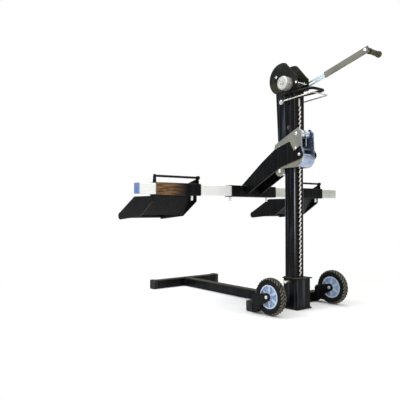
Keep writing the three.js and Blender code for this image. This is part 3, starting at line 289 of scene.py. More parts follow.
# %% A finish
class Finish(NodeTree):
    """A material of one surface shader, which also keeps the part list's name for its finish."""

    def __init__(self, name, slot=None):
        self.material = bpy.data.materials.new(name)
        self.material.use_nodes = True
        self.slot = slot or name
        super().__init__(self.material.node_tree)
        self.place = self.node("ShaderNodeTexCoord", output="Object")
        self.normal = self.node("ShaderNodeNewGeometry", output="Normal")
        self.cloud = self.noise(9, 4)
        self.worn = self.marked("worn_edge")

    def facing(self, axis, sign=1):
        """1 on faces that look along an axis, or against it with sign -1, and 0 on the others."""
        return (self.part(self.normal, axis) * sign).clamped()

    def square_to(self, axis):
        """1 on faces that look along an axis either way."""
        look = self.part(self.normal, axis)
        return look.math("ABSOLUTE", look)

    def marked(self, name):
        """A number that was written into the mesh, such as its worn edges."""
        return self.node("ShaderNodeAttribute", {"attribute_name": name}, output="Fac")

    def stretched(self, x, y, z):
        """The place on the piece, scaled along each axis, which draws a texture out."""
        settings = {"operation": "MULTIPLY"}
        return self.node("ShaderNodeVectorMath", settings, {0: self.place, 1: (x, y, z)})

    def bump(self, depth, height):
        """A relief that lifts the surface by depth where height is 1."""
        return self.node("ShaderNodeBump", None, {"Strength": 1.0, "Distance": depth, "Height": height})

    def shade(self, **inputs):
        """Ends the finish in one surface shader; Base_Color means its Base Color, and so on."""
        named = {name.replace("_", " "): value for name, value in inputs.items()}
        shader = self.node("ShaderNodeBsdfPrincipled", None, named)
        self.node("ShaderNodeOutputMaterial", None, {"Surface": shader})
        print("finish:", self.slot)
        return self


# %% [markdown]
# ### Powder coat
# Powder coat is sprayed on dry and baked, which leaves a fine orange peel. It is deep black with a
# soft gloss. Drawn tube is never quite flat, so its long faces ripple a little, and cool upright
# stripes of painted reflection are laid on them. What faces up is dusted and also gets a painted olive
# top light, and corners rub to grey. The mast's upright corners carry a painted highlight, brightest
# where the carriage runs; its back face gets a painted warm brown light, and the arm's underside a
# painted warm reflection.

# %% Powder coat
COAT_DARK = (0.0012, 0.0014, 0.0018, 1)
COAT_LIGHT = (0.0040, 0.0040, 0.0038, 1)
COAT_REFLECTION_STREAK = (0.046, 0.057, 0.080, 1)
COAT_DUST_AND_TOP_LIGHT = (0.150, 0.142, 0.085, 1)
COAT_CHIP = (0.105, 0.105, 0.095, 1)
MAST_CORNER_HIGHLIGHT = (0.70, 0.74, 0.80, 1)
MAST_BACK_WARM_LIGHT = (0.012, 0.008, 0.005, 1)
MAST_HIGHLIGHT_START = (0.20, 0.62)
MAST_HIGHLIGHT_END = (0.74, 0.84)
ARM_UNDERSIDE_WARM_LIGHT = (0.050, 0.034, 0.012, 1)
WINCH_DARK = (0.0050, 0.0052, 0.0026, 1)
WINCH_LIGHT = (0.0270, 0.0275, 0.0130, 1)


class PowderCoat(Finish):
    """Black powder coat; its colour is changed by each use before it is shaded."""

    def __init__(self, name, dark=COAT_DARK, light=COAT_LIGHT,
                 reflection_streaks=0.09, chipped=0.35, dust_and_top_light_share=0.2):
        super().__init__(name, "black_powder_coat")
        self.upward = self.facing("Z")
        self.ripple = self.noise(30, place=self.stretched(1, 1, 0.035))
        grime = self.noise(85, 6, roughness=0.7)
        # Cool upright stripes of painted reflection, laid on the faces that don't look up
        reflection_streak = self.noise(52, place=self.stretched(1, 1, 0.05)).step(0.50, 0.68)
        # Dust, together with a painted olive top light, on what faces up
        self.dust_and_top_light = self.upward * dust_and_top_light_share * (0.5 + grime.step(0.25, 0.80) * 0.5)
        chips = self.worn * self.noise(150, 3).step(0.46, 0.62) * chipped
        black = self.mix(dark, light, self.cloud.step(0.35, 0.65))
        with_reflection_streaks = self.mix(black, COAT_REFLECTION_STREAK, reflection_streak * (1 - self.upward) * reflection_streaks)
        self.colour = self.mix(self.mix(with_reflection_streaks, COAT_DUST_AND_TOP_LIGHT, self.dust_and_top_light), COAT_CHIP, chips)

    def add(self, colour, share):
        """Lays another colour over part of the coat."""
        self.colour = self.mix(self.colour, colour, share)

    def finished(self, metallic=0):
        peel = self.noise(620, 1)
        return self.shade(
            Base_Color=self.colour,
            Metallic=metallic,
            Roughness=0.25 + self.ripple * 0.16 + self.dust_and_top_light,
            Specular_IOR_Level=0.11,
            Normal=self.bump(0.0004, self.ripple * 1.6 + peel * 0.16),
        )


# Each coat's stripe share sets its painted reflection stripes, and its dust share both its dust and its
# painted top light
powder_coat = PowderCoat("powder_coat").finished()
cradle_coat = PowderCoat("cradle_coat", chipped=0.08).finished()
base_coat = PowderCoat("base_coat", reflection_streaks=0.15, dust_and_top_light_share=0.4).finished()
socket_coat = PowderCoat("socket_coat", reflection_streaks=0.8, dust_and_top_light_share=0.5).finished()
bracket_coat = PowderCoat("bracket_coat", reflection_streaks=0.9).finished()
winch_paint = PowderCoat("winch_paint", WINCH_DARK, WINCH_LIGHT, reflection_streaks=0).finished()


def make_mast_coat():
    coat = PowderCoat("mast_coat", reflection_streaks=0.42)
    height = coat.part(coat.place, "Z")
    # The height band where the painted corner highlight is brightest: rising from 0.2 m, fading above
    # 0.74 m
    corner_highlight_band = height.step(*MAST_HIGHLIGHT_START) * (1 - height.step(*MAST_HIGHLIGHT_END) * 0.85)
    on_corner = (coat.square_to("X") * coat.square_to("Y") * 2).step(0.35, 0.9)
    # Painted warm light on the mast's back face
    coat.add(MAST_BACK_WARM_LIGHT, coat.facing("Y", -1) * 0.85)
    # Painted highlight down the mast's upright corners
    coat.add(MAST_CORNER_HIGHLIGHT, on_corner * (0.06 + corner_highlight_band * 0.9))
    return coat.finished()


def make_arm_coat():
    coat = PowderCoat("arm_coat", chipped=0.12)
    # Painted warm reflection on the arm's faces that look down
    coat.add(ARM_UNDERSIDE_WARM_LIGHT, coat.facing("Z", -1) * 0.9)
    return coat.finished()


mast_coat = make_mast_coat()
arm_coat = make_arm_coat()

# %% [markdown]
# ### The rack's paint and the scuffed sleeve
# The latch slides over the rack's back edge, so everything there that faces the back is worn down to
# bare bright metal, and the ledges between and the worn edges get a cool grey painted highlight. The
# left cradle's sleeve is scuffed brown near its outer end, in long bands along the tube.

# %% Rack and sleeve
RACK_BARE = (0.93, 0.91, 0.88, 1)
RACK_LEDGE_HIGHLIGHT = (0.065, 0.100, 0.150, 1)
SCUFF_BROWN = (0.300, 0.165, 0.075, 1)
SCUFF_LENGTH = 0.16
SCUFF_REACH = (0.5, 1.3)


def make_rack_paint():
    paint = PowderCoat("rack_paint", reflection_streaks=0)
    speckle = paint.noise(240).step(0.35, 0.65)
    bare = paint.facing("Y", -1).step(0.3, 0.8) * (0.7 + speckle * 0.3)
    # Painted cool grey highlight on the ledges and the worn edges
    paint.add(RACK_LEDGE_HIGHLIGHT, (paint.upward + paint.worn).clamped() * 0.8)
    paint.add(RACK_BARE, bare)
    return paint.finished(bare * 0.25)


def make_scuffed_coat():
    coat = PowderCoat("scuffed_coat", chipped=0.08)
    outer_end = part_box("cradle_left")[0].x
    tube_low, tube_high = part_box("cross_tube_center")
    height = coat.part(coat.place, "Z")
    above_bottom = height.step(tube_low.z - 0.001, tube_low.z + 0.001)
    below_top = 1 - height.step(tube_high.z + 0.002, tube_high.z + 0.004)
    sleeve = above_bottom * below_top
    ends = [outer_end + SCUFF_LENGTH * share for share in SCUFF_REACH]
    reach = 1 - coat.part(coat.place, "X").step(*ends)
    bands = coat.noise(90, 4, place=coat.stretched(0.12, 1, 1), roughness=0.7).step(0.40, 0.62)
    coat.add(SCUFF_BROWN, coat.facing("Y", -1) * sleeve * reach * (0.25 + bands * 0.6))
    return coat.finished()


rack_paint = make_rack_paint()
scuffed_coat = make_scuffed_coat()

# %% [markdown]
# ### Zinc plate and bright steel
# Zinc plate is a thin skin that is bluish when new, and turns warmer and duller in soft patches as it
# is handled. The carriage's side plates have gone a warm grey outside, their inner faces are painted
# a dark blue shade, and the web between them is still blue and shiny. The slide bars carry a thicker
# coat that hardly mirrors: the left bar is a painted lit copy, pale, with a painted cool blue
# reflection on its sawn end, and the right bar a painted shaded copy, greyer. Bolts and rollers are
# brighter, and two old bolts have gone brown.

# %% Plated and bright metal
PATCHES = (0.36, 0.66)
ZINC_INSIDE_SHADE = (0.15, 0.20, 0.30, 1)
ZINC_WORN = (0.92, 0.93, 0.93, 1)
STEEL_COOL = (0.72, 0.76, 0.83, 1)
STEEL_WARM = (0.90, 0.89, 0.86, 1)


def make_zinc(name, cool, warm, metallic, roughness, sides=None):
    """Zinc plate in two tones, with a third on faces that look out to a side and a painted dark shade
    on side faces that look inward.
    """
    zinc = Finish(name, "zinc_plate")
    patch = zinc.cloud.step(*PATCHES)
    brushed = zinc.noise(120)
    plate = zinc.mix(cool, warm, patch)
    if sides:
        sideways = zinc.square_to("X").step(0.6, 0.95)
        outward = (zinc.part(zinc.normal, "X") * zinc.part(zinc.place, "X")).step(0, 0.005)
        plate = zinc.mix(plate, sides, sideways * outward * (0.85 + patch * 0.15))
        # Painted dark blue shade on the side faces that look inward
        plate = zinc.mix(plate, ZINC_INSIDE_SHADE, sideways * (1 - outward) * 0.9)
    return zinc.shade(
        Base_Color=zinc.mix(plate, ZINC_WORN, zinc.worn * 0.7),
        Metallic=metallic,
        Roughness=roughness + patch * 0.12 + brushed * 0.06,
        Normal=zinc.bump(0.00002, brushed),
    )


def make_bright_steel():
    steel = Finish("bright_steel")
    fine = steel.noise(340, 3)
    return steel.shade(
        Base_Color=steel.mix(STEEL_COOL, STEEL_WARM, steel.cloud.step(0.4, 0.6)),
        Metallic=0.96,
        Roughness=0.17 + fine * 0.15,
        Normal=steel.bump(0.00003, fine),
    )


# The cool and the warm tone, how metallic and how rough the plate is, and the tone of its side faces
ZINCS = {
    "zinc_plate": ((0.62, 0.68, 0.78, 1), (0.76, 0.74, 0.68, 1), 0.92, 0.22),
    "carriage_zinc": ((0.27, 0.36, 0.53, 1), (0.76, 0.81, 0.88, 1), 0.75, 0.22,
                      (0.345, 0.325, 0.255, 1)),
    "bail_zinc": ((0.52, 0.48, 0.42, 1), (0.86, 0.82, 0.74, 1), 0.85, 0.26),
    "brake_zinc": ((0.40, 0.42, 0.40, 1), (0.52, 0.51, 0.46, 1), 0.70, 0.34),
    # The two slide bars: a painted lit copy with a painted cool blue reflection on its end, and a
    # painted shaded copy
    "lit_bar_zinc": ((0.90, 0.90, 0.88, 1), (0.95, 0.92, 0.88, 1), 0.2, 0.40, (0.055, 0.145, 0.36, 1)),
    "shaded_bar_zinc": ((0.46, 0.50, 0.44, 1), (0.58, 0.60, 0.52, 1), 0.25, 0.42, (0.30, 0.33, 0.34, 1)),
    "socket_zinc": ((0.44, 0.54, 0.60, 1), (0.56, 0.64, 0.68, 1), 0.3, 0.34),
    "screw_zinc": ((0.90, 0.92, 0.96, 1), (0.95, 0.94, 0.92, 1), 0.3, 0.25),
    "aged_bolt": ((0.115, 0.062, 0.042, 1), (0.205, 0.120, 0.085, 1), 0.5, 0.4),
}
zincs = {name: make_zinc(name, *look) for name, look in ZINCS.items()}
zinc_plate = zincs["zinc_plate"]
bright_steel = make_bright_steel()

# %% [markdown]
# ### Satin grey, moulded plastic and hub plastic
# The crank's long arm is painted a satin grey. The tube plugs, the foot caps and the grip are moulded,
# so they carry a fine leathery grain. The hubs are a smooth pale plastic with a little dirt, and a
# painted shade darkens them where they are recessed: how deep each point lies is written into their
# mesh.

# %% Grey paint and plastics
GREY_DARK = (0.150, 0.142, 0.106, 1)
GREY_LIGHT = (0.205, 0.200, 0.162, 1)
PLASTIC_DARK = (0.0050, 0.0052, 0.0058, 1)
PLASTIC_CHALKY = (0.024, 0.024, 0.024, 1)
GRIP_DARK = (0.034, 0.031, 0.015, 1)
GRIP_CHALKY = (0.105, 0.095, 0.042, 1)
HUB_FACE = (0.52, 0.62, 0.76, 1)
HUB_DIRT = (0.28, 0.34, 0.41, 1)
HUB_RECESS_SHADE = (0.24, 0.33, 0.49, 1)


def make_grey_paint():
    paint = Finish("grey_paint")
    smear = paint.cloud.step(*PATCHES)
    return paint.shade(
        Base_Color=paint.mix(GREY_DARK, GREY_LIGHT, smear),
        Roughness=0.50 + smear * 0.12,
        Specular_IOR_Level=0.25,
        Normal=paint.bump(0.00004, smear),
    )


def make_black_plastic(name, dark, chalky):
    plastic = Finish(name, "black_plastic")
    grain = plastic.node("ShaderNodeTexVoronoi", None, {"Vector": plastic.place, "Scale": 760})
    chalk = plastic.noise(44, 4).step(0.45, 0.75)
    return plastic.shade(
        Base_Color=plastic.mix(dark, chalky, chalk),
        Roughness=0.5 + plastic.cloud * 0.15,
        Specular_IOR_Level=0.3,
        Normal=plastic.bump(0.00012, grain),
    )


def make_hub_plastic():
    plastic = Finish("hub_plastic")
    dirt = plastic.noise(52, 5, roughness=0.65).step(0.5, 0.8) * 0.4
    face = plastic.mix(HUB_FACE, HUB_DIRT, dirt)
    # The face colour gets a painted shade where the hub is recessed
    return plastic.shade(
        Base_Color=plastic.mix(face, HUB_RECESS_SHADE, plastic.marked("recess_shade") * 0.65),
        Metallic=0.1,
        Roughness=0.36 + plastic.cloud * 0.14,
        Normal=plastic.bump(0.0001, plastic.noise(300)),
    )


grey_paint = make_grey_paint()
black_plastic = make_black_plastic("black_plastic", PLASTIC_DARK, PLASTIC_CHALKY)
grip_plastic = make_black_plastic("grip_plastic", GRIP_DARK, GRIP_CHALKY)
hub_plastic = make_hub_plastic()

# %% [markdown]
# ### Rubber and webbing
# A tyre is nearly black on its walls. Its tread tops get a pale colour that is partly dry earth and
# partly a painted highlight. The `tread` value is written into the mesh, 1 on the blocks' tops and 0
# elsewhere. Webbing is woven, so two waves cross for its threads: one runs along the strap and one
# across.

# %% Rubber and webbing
RUBBER_DARK = (0.0030, 0.0030, 0.0032, 1)
RUBBER_LIGHT = (0.009, 0.0085, 0.0078, 1)
RUBBER_SOIL_AND_SHEEN = (0.155, 0.146, 0.118, 1)
WEB_DARK = (0.012, 0.012, 0.013, 1)
WEB_LIGHT = (0.055, 0.055, 0.058, 1)


def make_rubber():
    rubber = Finish("tyre_rubber")
    # Dry earth and a painted highlight on the lug tops, in patches
    soil_and_sheen = rubber.marked("tread") * rubber.noise(38, 5).step(0.22, 0.5)
    wall = rubber.mix(RUBBER_DARK, RUBBER_LIGHT, rubber.cloud)
    return rubber.shade(
        Base_Color=rubber.mix(wall, RUBBER_SOIL_AND_SHEEN, soil_and_sheen * 0.9),
        Roughness=0.62 + soil_and_sheen * 0.3,
        Specular_IOR_Level=0.13,
        Normal=rubber.bump(0.0003, rubber.noise(210, 4)),
    )


def make_webbing():
    web = Finish("webbing")
    weave = 1
    for direction, scale in (("X", 130), ("Z", 95)):
        settings = {"bands_direction": direction}
        wave = web.node("ShaderNodeTexWave", settings, {"Vector": web.place, "Scale": scale})
        weave = wave * weave
    return web.shade(
        Base_Color=web.mix(WEB_DARK, WEB_LIGHT, weave),
        Roughness=0.82 + web.cloud * 0.12,
        Normal=web.bump(0.0004, weave),
    )


tyre_rubber = make_rubber()
webbing = make_webbing()

# %% [markdown]
# ## Making shapes
# Three ways of making a mesh cover most of the lift. `bevelled_copy` takes a part that is already right
# and rounds its edges, as a press or a grinder leaves them. `turn` spins a profile about a line, for
# all that comes off a lathe. `sweep` pushes a round section along a bent line, for rods and welds.

# %% Adding a piece
SMOOTH_LIMIT = math.radians(38)


def add_piece(name, form, finish, body, stands_for=()):
    """Turns a finished form into a piece that rides on a body and stands for parts."""
    bmesh.ops.recalc_face_normals(form, faces=form.faces)
    for face in form.faces:
        face.smooth = True
    for edge in form.edges:
        edge.smooth = len(edge.link_faces) == 2 and edge.calc_face_angle(0) < SMOOTH_LIMIT
    mesh = bpy.data.meshes.new(name)
    form.to_mesh(mesh)
    form.free()
    mesh.materials.append(finish.material)
    piece = bpy.data.objects.new(name, mesh)
    scene.collection.objects.link(piece)
    weighted = piece.modifiers.new("flat_faces_stay_flat", "WEIGHTED_NORMAL")
    weighted.keep_sharp = True
    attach(piece, body)
    if stands_for:
        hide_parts(*stands_for)
    print(f"{name}: {len(mesh.polygons)} faces on {body}")
    return piece


def body_of(node):
    return frame["nodes"][node]["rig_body"]


def replace_part(node, form, finish):
    """Adds a form in the place of the part that it was made for."""
    add_piece(f"{node}_finished", form, finish, body_of(node), (node,))


# %% Rounding the edges of a part
WELD_DISTANCE = 0.00003
FLAT_ANGLE = math.radians(0.6)
SHARP_ANGLE = math.radians(28)
EDGE_SEGMENTS = 2


def bevelled_copy(node, finish, width):
    """A copy of a part with its sharp edges rounded and marked as worn."""
    form = bmesh.new()
    form.from_mesh(frame["nodes"][node].data)
    bmesh.ops.remove_doubles(form, verts=form.verts, dist=WELD_DISTANCE)
    bmesh.ops.dissolve_limit(form, angle_limit=FLAT_ANGLE, verts=form.verts, edges=form.edges)
    worn = form.faces.layers.float.new("worn_edge")
    sharp = [e for e in form.edges if len(e.link_faces) == 2 and e.calc_face_angle(0) > SHARP_ANGLE]
    rounded = bmesh.ops.bevel(form, geom=sharp, offset=width, segments=EDGE_SEGMENTS, profile=0.5,
                              affect="EDGES", clamp_overlap=True, loop_slide=True)
    for face in rounded["faces"]:
        face[worn] = 1
    replace_part(node, form, finish)


# %% Rings of points, and turning a profile
ROD_STEPS = 32


def add_ring(form, middle, first, second, radius, count):
    """Points on a circle about a middle, in the plane of two directions."""
    ring = []
    for index in range(count):
        angle = math.tau * index / count
        outward = first * math.cos(angle) + second * math.sin(angle)
        ring.append(form.verts.new(middle + radius * outward))
    return ring


def join_rings(form, rings, closed=False):
    """Lays faces between neighbouring rings; closed also joins the last ring to the first."""
    following = rings[1:] + rings[:1] if closed else rings[1:]
    for near, far in zip(rings, following):
        for index in range(len(near)):
            after = (index + 1) % len(near)
            corners = [near[index], near[after], far[after], far[index]]
            unique = list(dict.fromkeys(corners))
            if len(unique) > 2:
                form.faces.new(unique)


def turn(form, profile, centre, steps=ROD_STEPS, axis=(1, 0, 0)):
    """Spins (radius, place) points about an axis; a radius of zero makes a single point."""
    along = Vector(axis)
    first = Vector((0, 0, 1)) if abs(along.z) < 0.5 else Vector((1, 0, 0))
    second = along.cross(first)
    rings = []
    for radius, place in profile:
        middle = Vector(centre) + along * place
        if radius == 0:
            rings.append([form.verts.new(middle)] * steps)
        else:
            rings.append(add_ring(form, middle, first, second, radius, steps))
    hollow = profile[0][0] > 0
    join_rings(form, rings, hollow)
    return form


# %% Sweeping a rod
ARC_STEPS = 8


def rounded_path(points, bend):
    """The points with each corner replaced by an arc-like curve."""
    stops = [Vector(point) for point in points]
    path = [stops[0]]
    for before, corner, after in zip(stops, stops[1:], stops[2:]):
        arriving = (corner - before).normalized()
        leaving = (after - corner).normalized()
        reach = bend * math.tan(arriving.angle(leaving) / 2)
        start = corner - arriving * reach
        end = corner + leaving * reach
        for index in range(ARC_STEPS + 1):
            share = index / ARC_STEPS
            path.append(start.lerp(corner, share).lerp(corner.lerp(end, share), share))
    return path + [stops[-1]]


def sweep(form, path, radii, sides=20):
    """Pushes a round section along a path, with a radius for each stop."""
    across = (path[1] - path[0]).orthogonal().normalized()
    rings = []
    for index, (stop, radius) in enumerate(zip(path, radii)):
        before = path[max(index - 1, 0)]
        after = path[min(index + 1, len(path) - 1)]
        tangent = (after - before).normalized()
        across = (across - tangent * across.dot(tangent)).normalized()
        rings.append(add_ring(form, stop, across, tangent.cross(across), radius, sides))
    join_rings(form, rings)
    form.faces.new(rings[0])
    form.faces.new(rings[-1])
    return form


# %% [markdown]
# ## The plates and tubes
# Most of the lift is cut plate and square tube, and the parts have the right outlines already. Only
# their razor edges give them away, so each gets a rounded edge. Tube takes more than plate, and the
# teeth of gears get much less, or they would look melted.

# %% Plates and tubes
TUBE_EDGE = 0.0016
PLATE_EDGE = 0.0009
RACK_EDGE = 0.0007
FINE_EDGE = 0.0003

PLATE_WORK = [
    (mast_coat, TUBE_EDGE, ["mast"]),
    (base_coat, TUBE_EDGE, ["rear_cross_tube", "base_leg", "front_foot_bar"]),
    (socket_coat, PLATE_EDGE, ["mast_socket"]),
    (powder_coat, TUBE_EDGE, ["cross_tube_center"]),
    (powder_coat, PLATE_EDGE, ["wheel_fork_left", "wheel_fork_right"]),
    (arm_coat, PLATE_EDGE, ["lift_arm"]),
    (cradle_coat, PLATE_EDGE, ["cradle_right"]),
    (scuffed_coat, PLATE_EDGE, ["cradle_left"]),
    (bracket_coat, PLATE_EDGE, ["winch_bracket"]),
    (winch_paint, PLATE_EDGE, ["winch_frame"]),
    (zincs["lit_bar_zinc"], TUBE_EDGE, ["slide_bar_left"]),
    (zincs["shaded_bar_zinc"], TUBE_EDGE, ["slide_bar_right"]),
    (zincs["carriage_zinc"], PLATE_EDGE, ["carriage_frame"]),
    (zinc_plate, PLATE_EDGE, ["strap_anchor"]),
    (zincs["socket_zinc"], PLATE_EDGE, ["crank_socket"]),
    (zinc_plate, FINE_EDGE, ["drum_gear", "pinion_shaft"]),
    (bright_steel, FINE_EDGE, ["ratchet_wheel", "winch_pawl", "latch_pawl"]),
    (grey_paint, PLATE_EDGE, ["crank_arm"]),
    (black_plastic, PLATE_EDGE, ["tube_plug_left", "tube_plug_right"]),
    (black_plastic, PLATE_EDGE, ["foot_cap_left", "foot_cap_right"]),
    (rack_paint, RACK_EDGE, ["latch_rack"]),
]

for finish, width, nodes in PLATE_WORK:
    for node in nodes:
        bevelled_copy(node, finish, width)

# %% [markdown]
# ## Bolts
# A bolt is a rod with a head at one end and a nut at the other. A real hexagon has its six corners
# chamfered by a cone, which is what catches the light, so its outer end is drawn in. The pins of the
# rollers and the latch, and the bolts of the arm and the pawl, have a low dome for a head instead.

# %% Rods, hexagons and bolts
HEX_SIDES = 6
HEX_CUT = 0.22
HEX_FACE = 0.86
ROD_CUT = 0.12
FINE_CUT = 0.001
WIDE_CUT = 0.0015

# The dome of a head: shares of its radius, and of its height
DOME = [(0.45, 0), (0.8, 0.22), (1, 0.62), (1, 1)]

# The finish, the shank's radius, the head's radius and the head's height
CROSS_BOLTS = {
    "pawl_bolt": (bright_steel, 0.004, 0.007, 0.004),
    "roller_pin_rear": (bright_steel, 0.006, 0.010, 0.005),
    "roller_pin_front": (bright_steel, 0.006, 0.010, 0.005),
    "latch_pin": (bright_steel, 0.006, 0.008, 0.005),
    "arm_bolt": (zinc_plate, 0.006, 0.009, 0.0074),
}


def cut_corners(points):
    """A profile where each (radius, place, cut) corner is cut off by so much along both its sides."""
    profile = []
    for index, (radius, place, *cut) in enumerate(points):
        if not cut:
            profile.append((radius, place))
            continue
        for next_radius, next_place, *_ in (points[index - 1], points[index + 1]):
            share = cut[0] / math.hypot(next_radius - radius, next_place - place)
            profile.append((radius + (next_radius - radius) * share,
                            place + (next_place - place) * share))
    return profile


def hexagon(form, centre, near, far, radius):
    """A nut or bolt head from near to far along X, chamfered on its far face."""
    chamfer = far - (far - near) * HEX_CUT
    profile = [(0, near), (radius, near), (radius, chamfer), (radius * HEX_FACE, far), (0, far)]
    return turn(form, profile, centre, HEX_SIDES)


def rod(form, centre, near, far, radius):
    """A plain round rod along X with a small chamfer on both ends."""
    cut = radius * ROD_CUT
    profile = cut_corners([(0, near), (radius, near, cut), (radius, far, cut), (0, far)])
    return turn(form, profile, centre)


def axis_of(node):
    """Where a part's left-to-right axis meets the lift's middle plane, and the part's box."""
    low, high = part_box(node)
    return (0, (low.y + high.y) / 2, (low.z + high.z) / 2), low, high


def turn_part(node, profile, finish, steps=ROD_STEPS):
    """Turns a profile about a part's own axis, in the part's place."""
    replace_part(node, turn(bmesh.new(), profile, axis_of(node)[0], steps), finish)


for node, (finish, shank, head, head_height) in CROSS_BOLTS.items():
    centre, low, high = axis_of(node)
    face = low.x + head_height
    dome = [(head * out, low.x + head_height * rise) for out, rise in DOME]
    form = turn(bmesh.new(), [(0, low.x), *dome, (0, face)], centre)
    rod(form, centre, face - head_height / 2, high.x, shank)
    hexagon(form, centre, high.x - head_height, high.x, head)
    replace_part(node, form, finish)

# %% [markdown]
# ## Wheels
# The tyre's section is one smooth curve from bead to crown. Its tread is cut into it as slanting
# grooves that meet in the middle, and each is a real dent in the mesh, so it shows in the outline.
# The hub is a moulded dish with a raised rim, a boss and six ribs.

# %% Tyres
PART_GAP = 0.0003
TYRE_SECTION = [(0.0, 0.76), (0.10, 0.93), (0.32, 0.985), (0.55, 1.0), (0.72, 0.97),
                (0.86, 0.90), (0.93, 0.76), (0.97, 0.62), (0.992, 0.42), (1.0, 0.22)]
SECTION_STEPS = 3
CROWN_STEPS = 7
TREAD_LUGS = 30
TREAD_STEPS_PER_LUG = 10
TREAD_SLANT = 1.3
TREAD_DEPTH = 0.0050
TREAD_START_SHARE = 0.74
TREAD_GROOVE_SHARE = 0.5


def tyre_profile(bead, radius, half):
    """Points (radius, x) from the left bead over the crown to the right bead."""
    side = [(bead + share * (radius - bead), width * half) for share, width in TYRE_SECTION]
    fine = []
    for (r0, x0), (r1, x1) in zip(side, side[1:]):
        for step in range(SECTION_STEPS):
            share = step / SECTION_STEPS
            fine.append((r0 + (r1 - r0) * share, x0 + (x1 - x0) * share))
    edge = side[-1][1]
    crown = [(radius, edge * (2 * index / CROWN_STEPS - 1)) for index in range(CROWN_STEPS + 1)]
    return [(r, -x) for r, x in fine] + crown + fine[::-1]


def tread_at(angle, x, half):
    """1 on a lug and 0 in a groove."""
    turn_share = angle / math.tau * TREAD_LUGS + TREAD_SLANT * abs(x) / half
    return 0.0 if turn_share % 1 < TREAD_GROOVE_SHARE else 1.0


def make_tyre(side):
    node = f"tyre_{side}"
    low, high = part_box(node)
    hub_low, hub_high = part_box(f"hub_{side}")
    middle = (low + high) / 2
    radius = (high.z - low.z) / 2
    bead = (hub_high.z - hub_low.z) / 2 + PART_GAP
    half = (high.x - low.x) / 2
    steps = TREAD_LUGS * TREAD_STEPS_PER_LUG
    form = bmesh.new()
    tread = form.verts.layers.float.new("tread")
    rings = []
    for r, x in tyre_profile(bead, radius, half):
        ring = []
        on_tread = (r - bead) / (radius - bead) > TREAD_START_SHARE
        for index in range(steps):
            angle = math.tau * index / steps
            lug = tread_at(angle, x, half) if on_tread else 1.0
            reach = r - TREAD_DEPTH * (1 - lug)
            offset = Vector((x, reach * math.sin(angle), reach * math.cos(angle)))
            point = form.verts.new(middle + offset)
            point[tread] = lug if on_tread else 0
            ring.append(point)
        rings.append(ring)
    join_rings(form, rings, closed=True)
    replace_part(node, form, tyre_rubber)


for side in ("left", "right"):
    make_tyre(side)

# %% Hubs
HUB_RIM_WIDTH = 0.036
HUB_RIM_WALL = 0.007
HUB_DISH = 0.006
HUB_BOSS = 0.017
HUB_BORE = 0.0063
HUB_FILLET = 0.002
HUB_STEPS = 72
HUB_RIBS = 6
RIB_WIDTH = 0.013
RIB_HALF_DEPTH = 0.0155
RIB_TAPER = 0.62
RIB_ROOT = 0.003
RIB_TIP = 0.002


def both_sides(half):
    """A profile from its right half: the half mirrored, and then the half itself, run back."""
    return [(r, -x, *cut) for r, x, *cut in half] + half[::-1]


def hub_outline(radius, half):
    """Half of the hub's section, from the bore out to the rim's edge."""
    inner = radius - HUB_RIM_WALL
    rim = HUB_RIM_WIDTH / 2
    dish = HUB_DISH / 2
    return [
        (HUB_BORE, half), (HUB_BOSS - HUB_FILLET, half), (HUB_BOSS, half - HUB_FILLET),
        (HUB_BOSS + HUB_FILLET, HUB_DISH), (HUB_BOSS + 3 * HUB_FILLET, dish + FINE_CUT),
        (inner - 4 * HUB_FILLET, dish), (inner - HUB_FILLET, dish + 3 * FINE_CUT),
        (inner, rim - FINE_CUT), (inner + FINE_CUT, rim),
        (radius - FINE_CUT, rim), (radius, rim - FINE_CUT),
    ]


def add_rib(form, centre, angle, inner, outer):
    """One rib: a bar from boss to rim that is lower at its outer end."""
    direction = Vector((0, math.sin(angle), math.cos(angle)))
    across = Vector((0, math.cos(angle), -math.sin(angle))) * RIB_WIDTH / 2
    ends = [(inner, RIB_HALF_DEPTH), (outer, RIB_HALF_DEPTH * RIB_TAPER)]
    points = [centre + direction * reach + across * s + Vector((depth * t, 0, 0))
              for reach, depth in ends for s in (-1, 1) for t in (-1, 1)]
    bmesh.ops.convex_hull(form, input=[form.verts.new(point) for point in points])


def make_hub(side):
    node = f"hub_{side}"
    low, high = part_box(node)
    middle = (low + high) / 2
    radius = (high.z - low.z) / 2
    outline = hub_outline(radius, (high.x - low.x) / 2)
    form = turn(bmesh.new(), both_sides(outline), middle, HUB_STEPS)
    for index in range(HUB_RIBS):
        angle = math.tau * index / HUB_RIBS
        add_rib(form, middle, angle, HUB_BOSS - RIB_ROOT, radius - HUB_RIM_WALL + RIB_TIP)
    # Painted shade for the recesses: 1 at the bottom of the dish, fading to 0 at the ribs' outer faces
    # and beyond
    recess_shade = form.verts.layers.float.new("recess_shade")
    dish = HUB_DISH / 2
    for point in form.verts:
        deep = 1 - (abs(point.co.x - middle.x) - dish) / (RIB_HALF_DEPTH - dish)
        point[recess_shade] = min(1, max(0, deep))
    replace_part(node, form, hub_plastic)


for side in ("left", "right"):
    make_hub(side)

# %% Axle bolts
AXLE_RADIUS = 0.006
AXLE_HEAD = 0.010
AXLE_HEAD_HEIGHT = 0.007
AXLE_NUT_HEIGHT = 0.008
AXLE_TAIL = 0.004

for node in ("axle_bolt_left", "axle_bolt_right"):
    centre, low, high = axis_of(node)
    nut_end = high.x - AXLE_TAIL
    form = hexagon(bmesh.new(), centre, low.x + AXLE_HEAD_HEIGHT, low.x, AXLE_HEAD)
    rod(form, centre, low.x + AXLE_HEAD_HEIGHT / 2, high.x, AXLE_RADIUS)
    hexagon(form, centre, nut_end - AXLE_NUT_HEIGHT, nut_end, AXLE_HEAD)
    replace_part(node, form, zinc_plate)

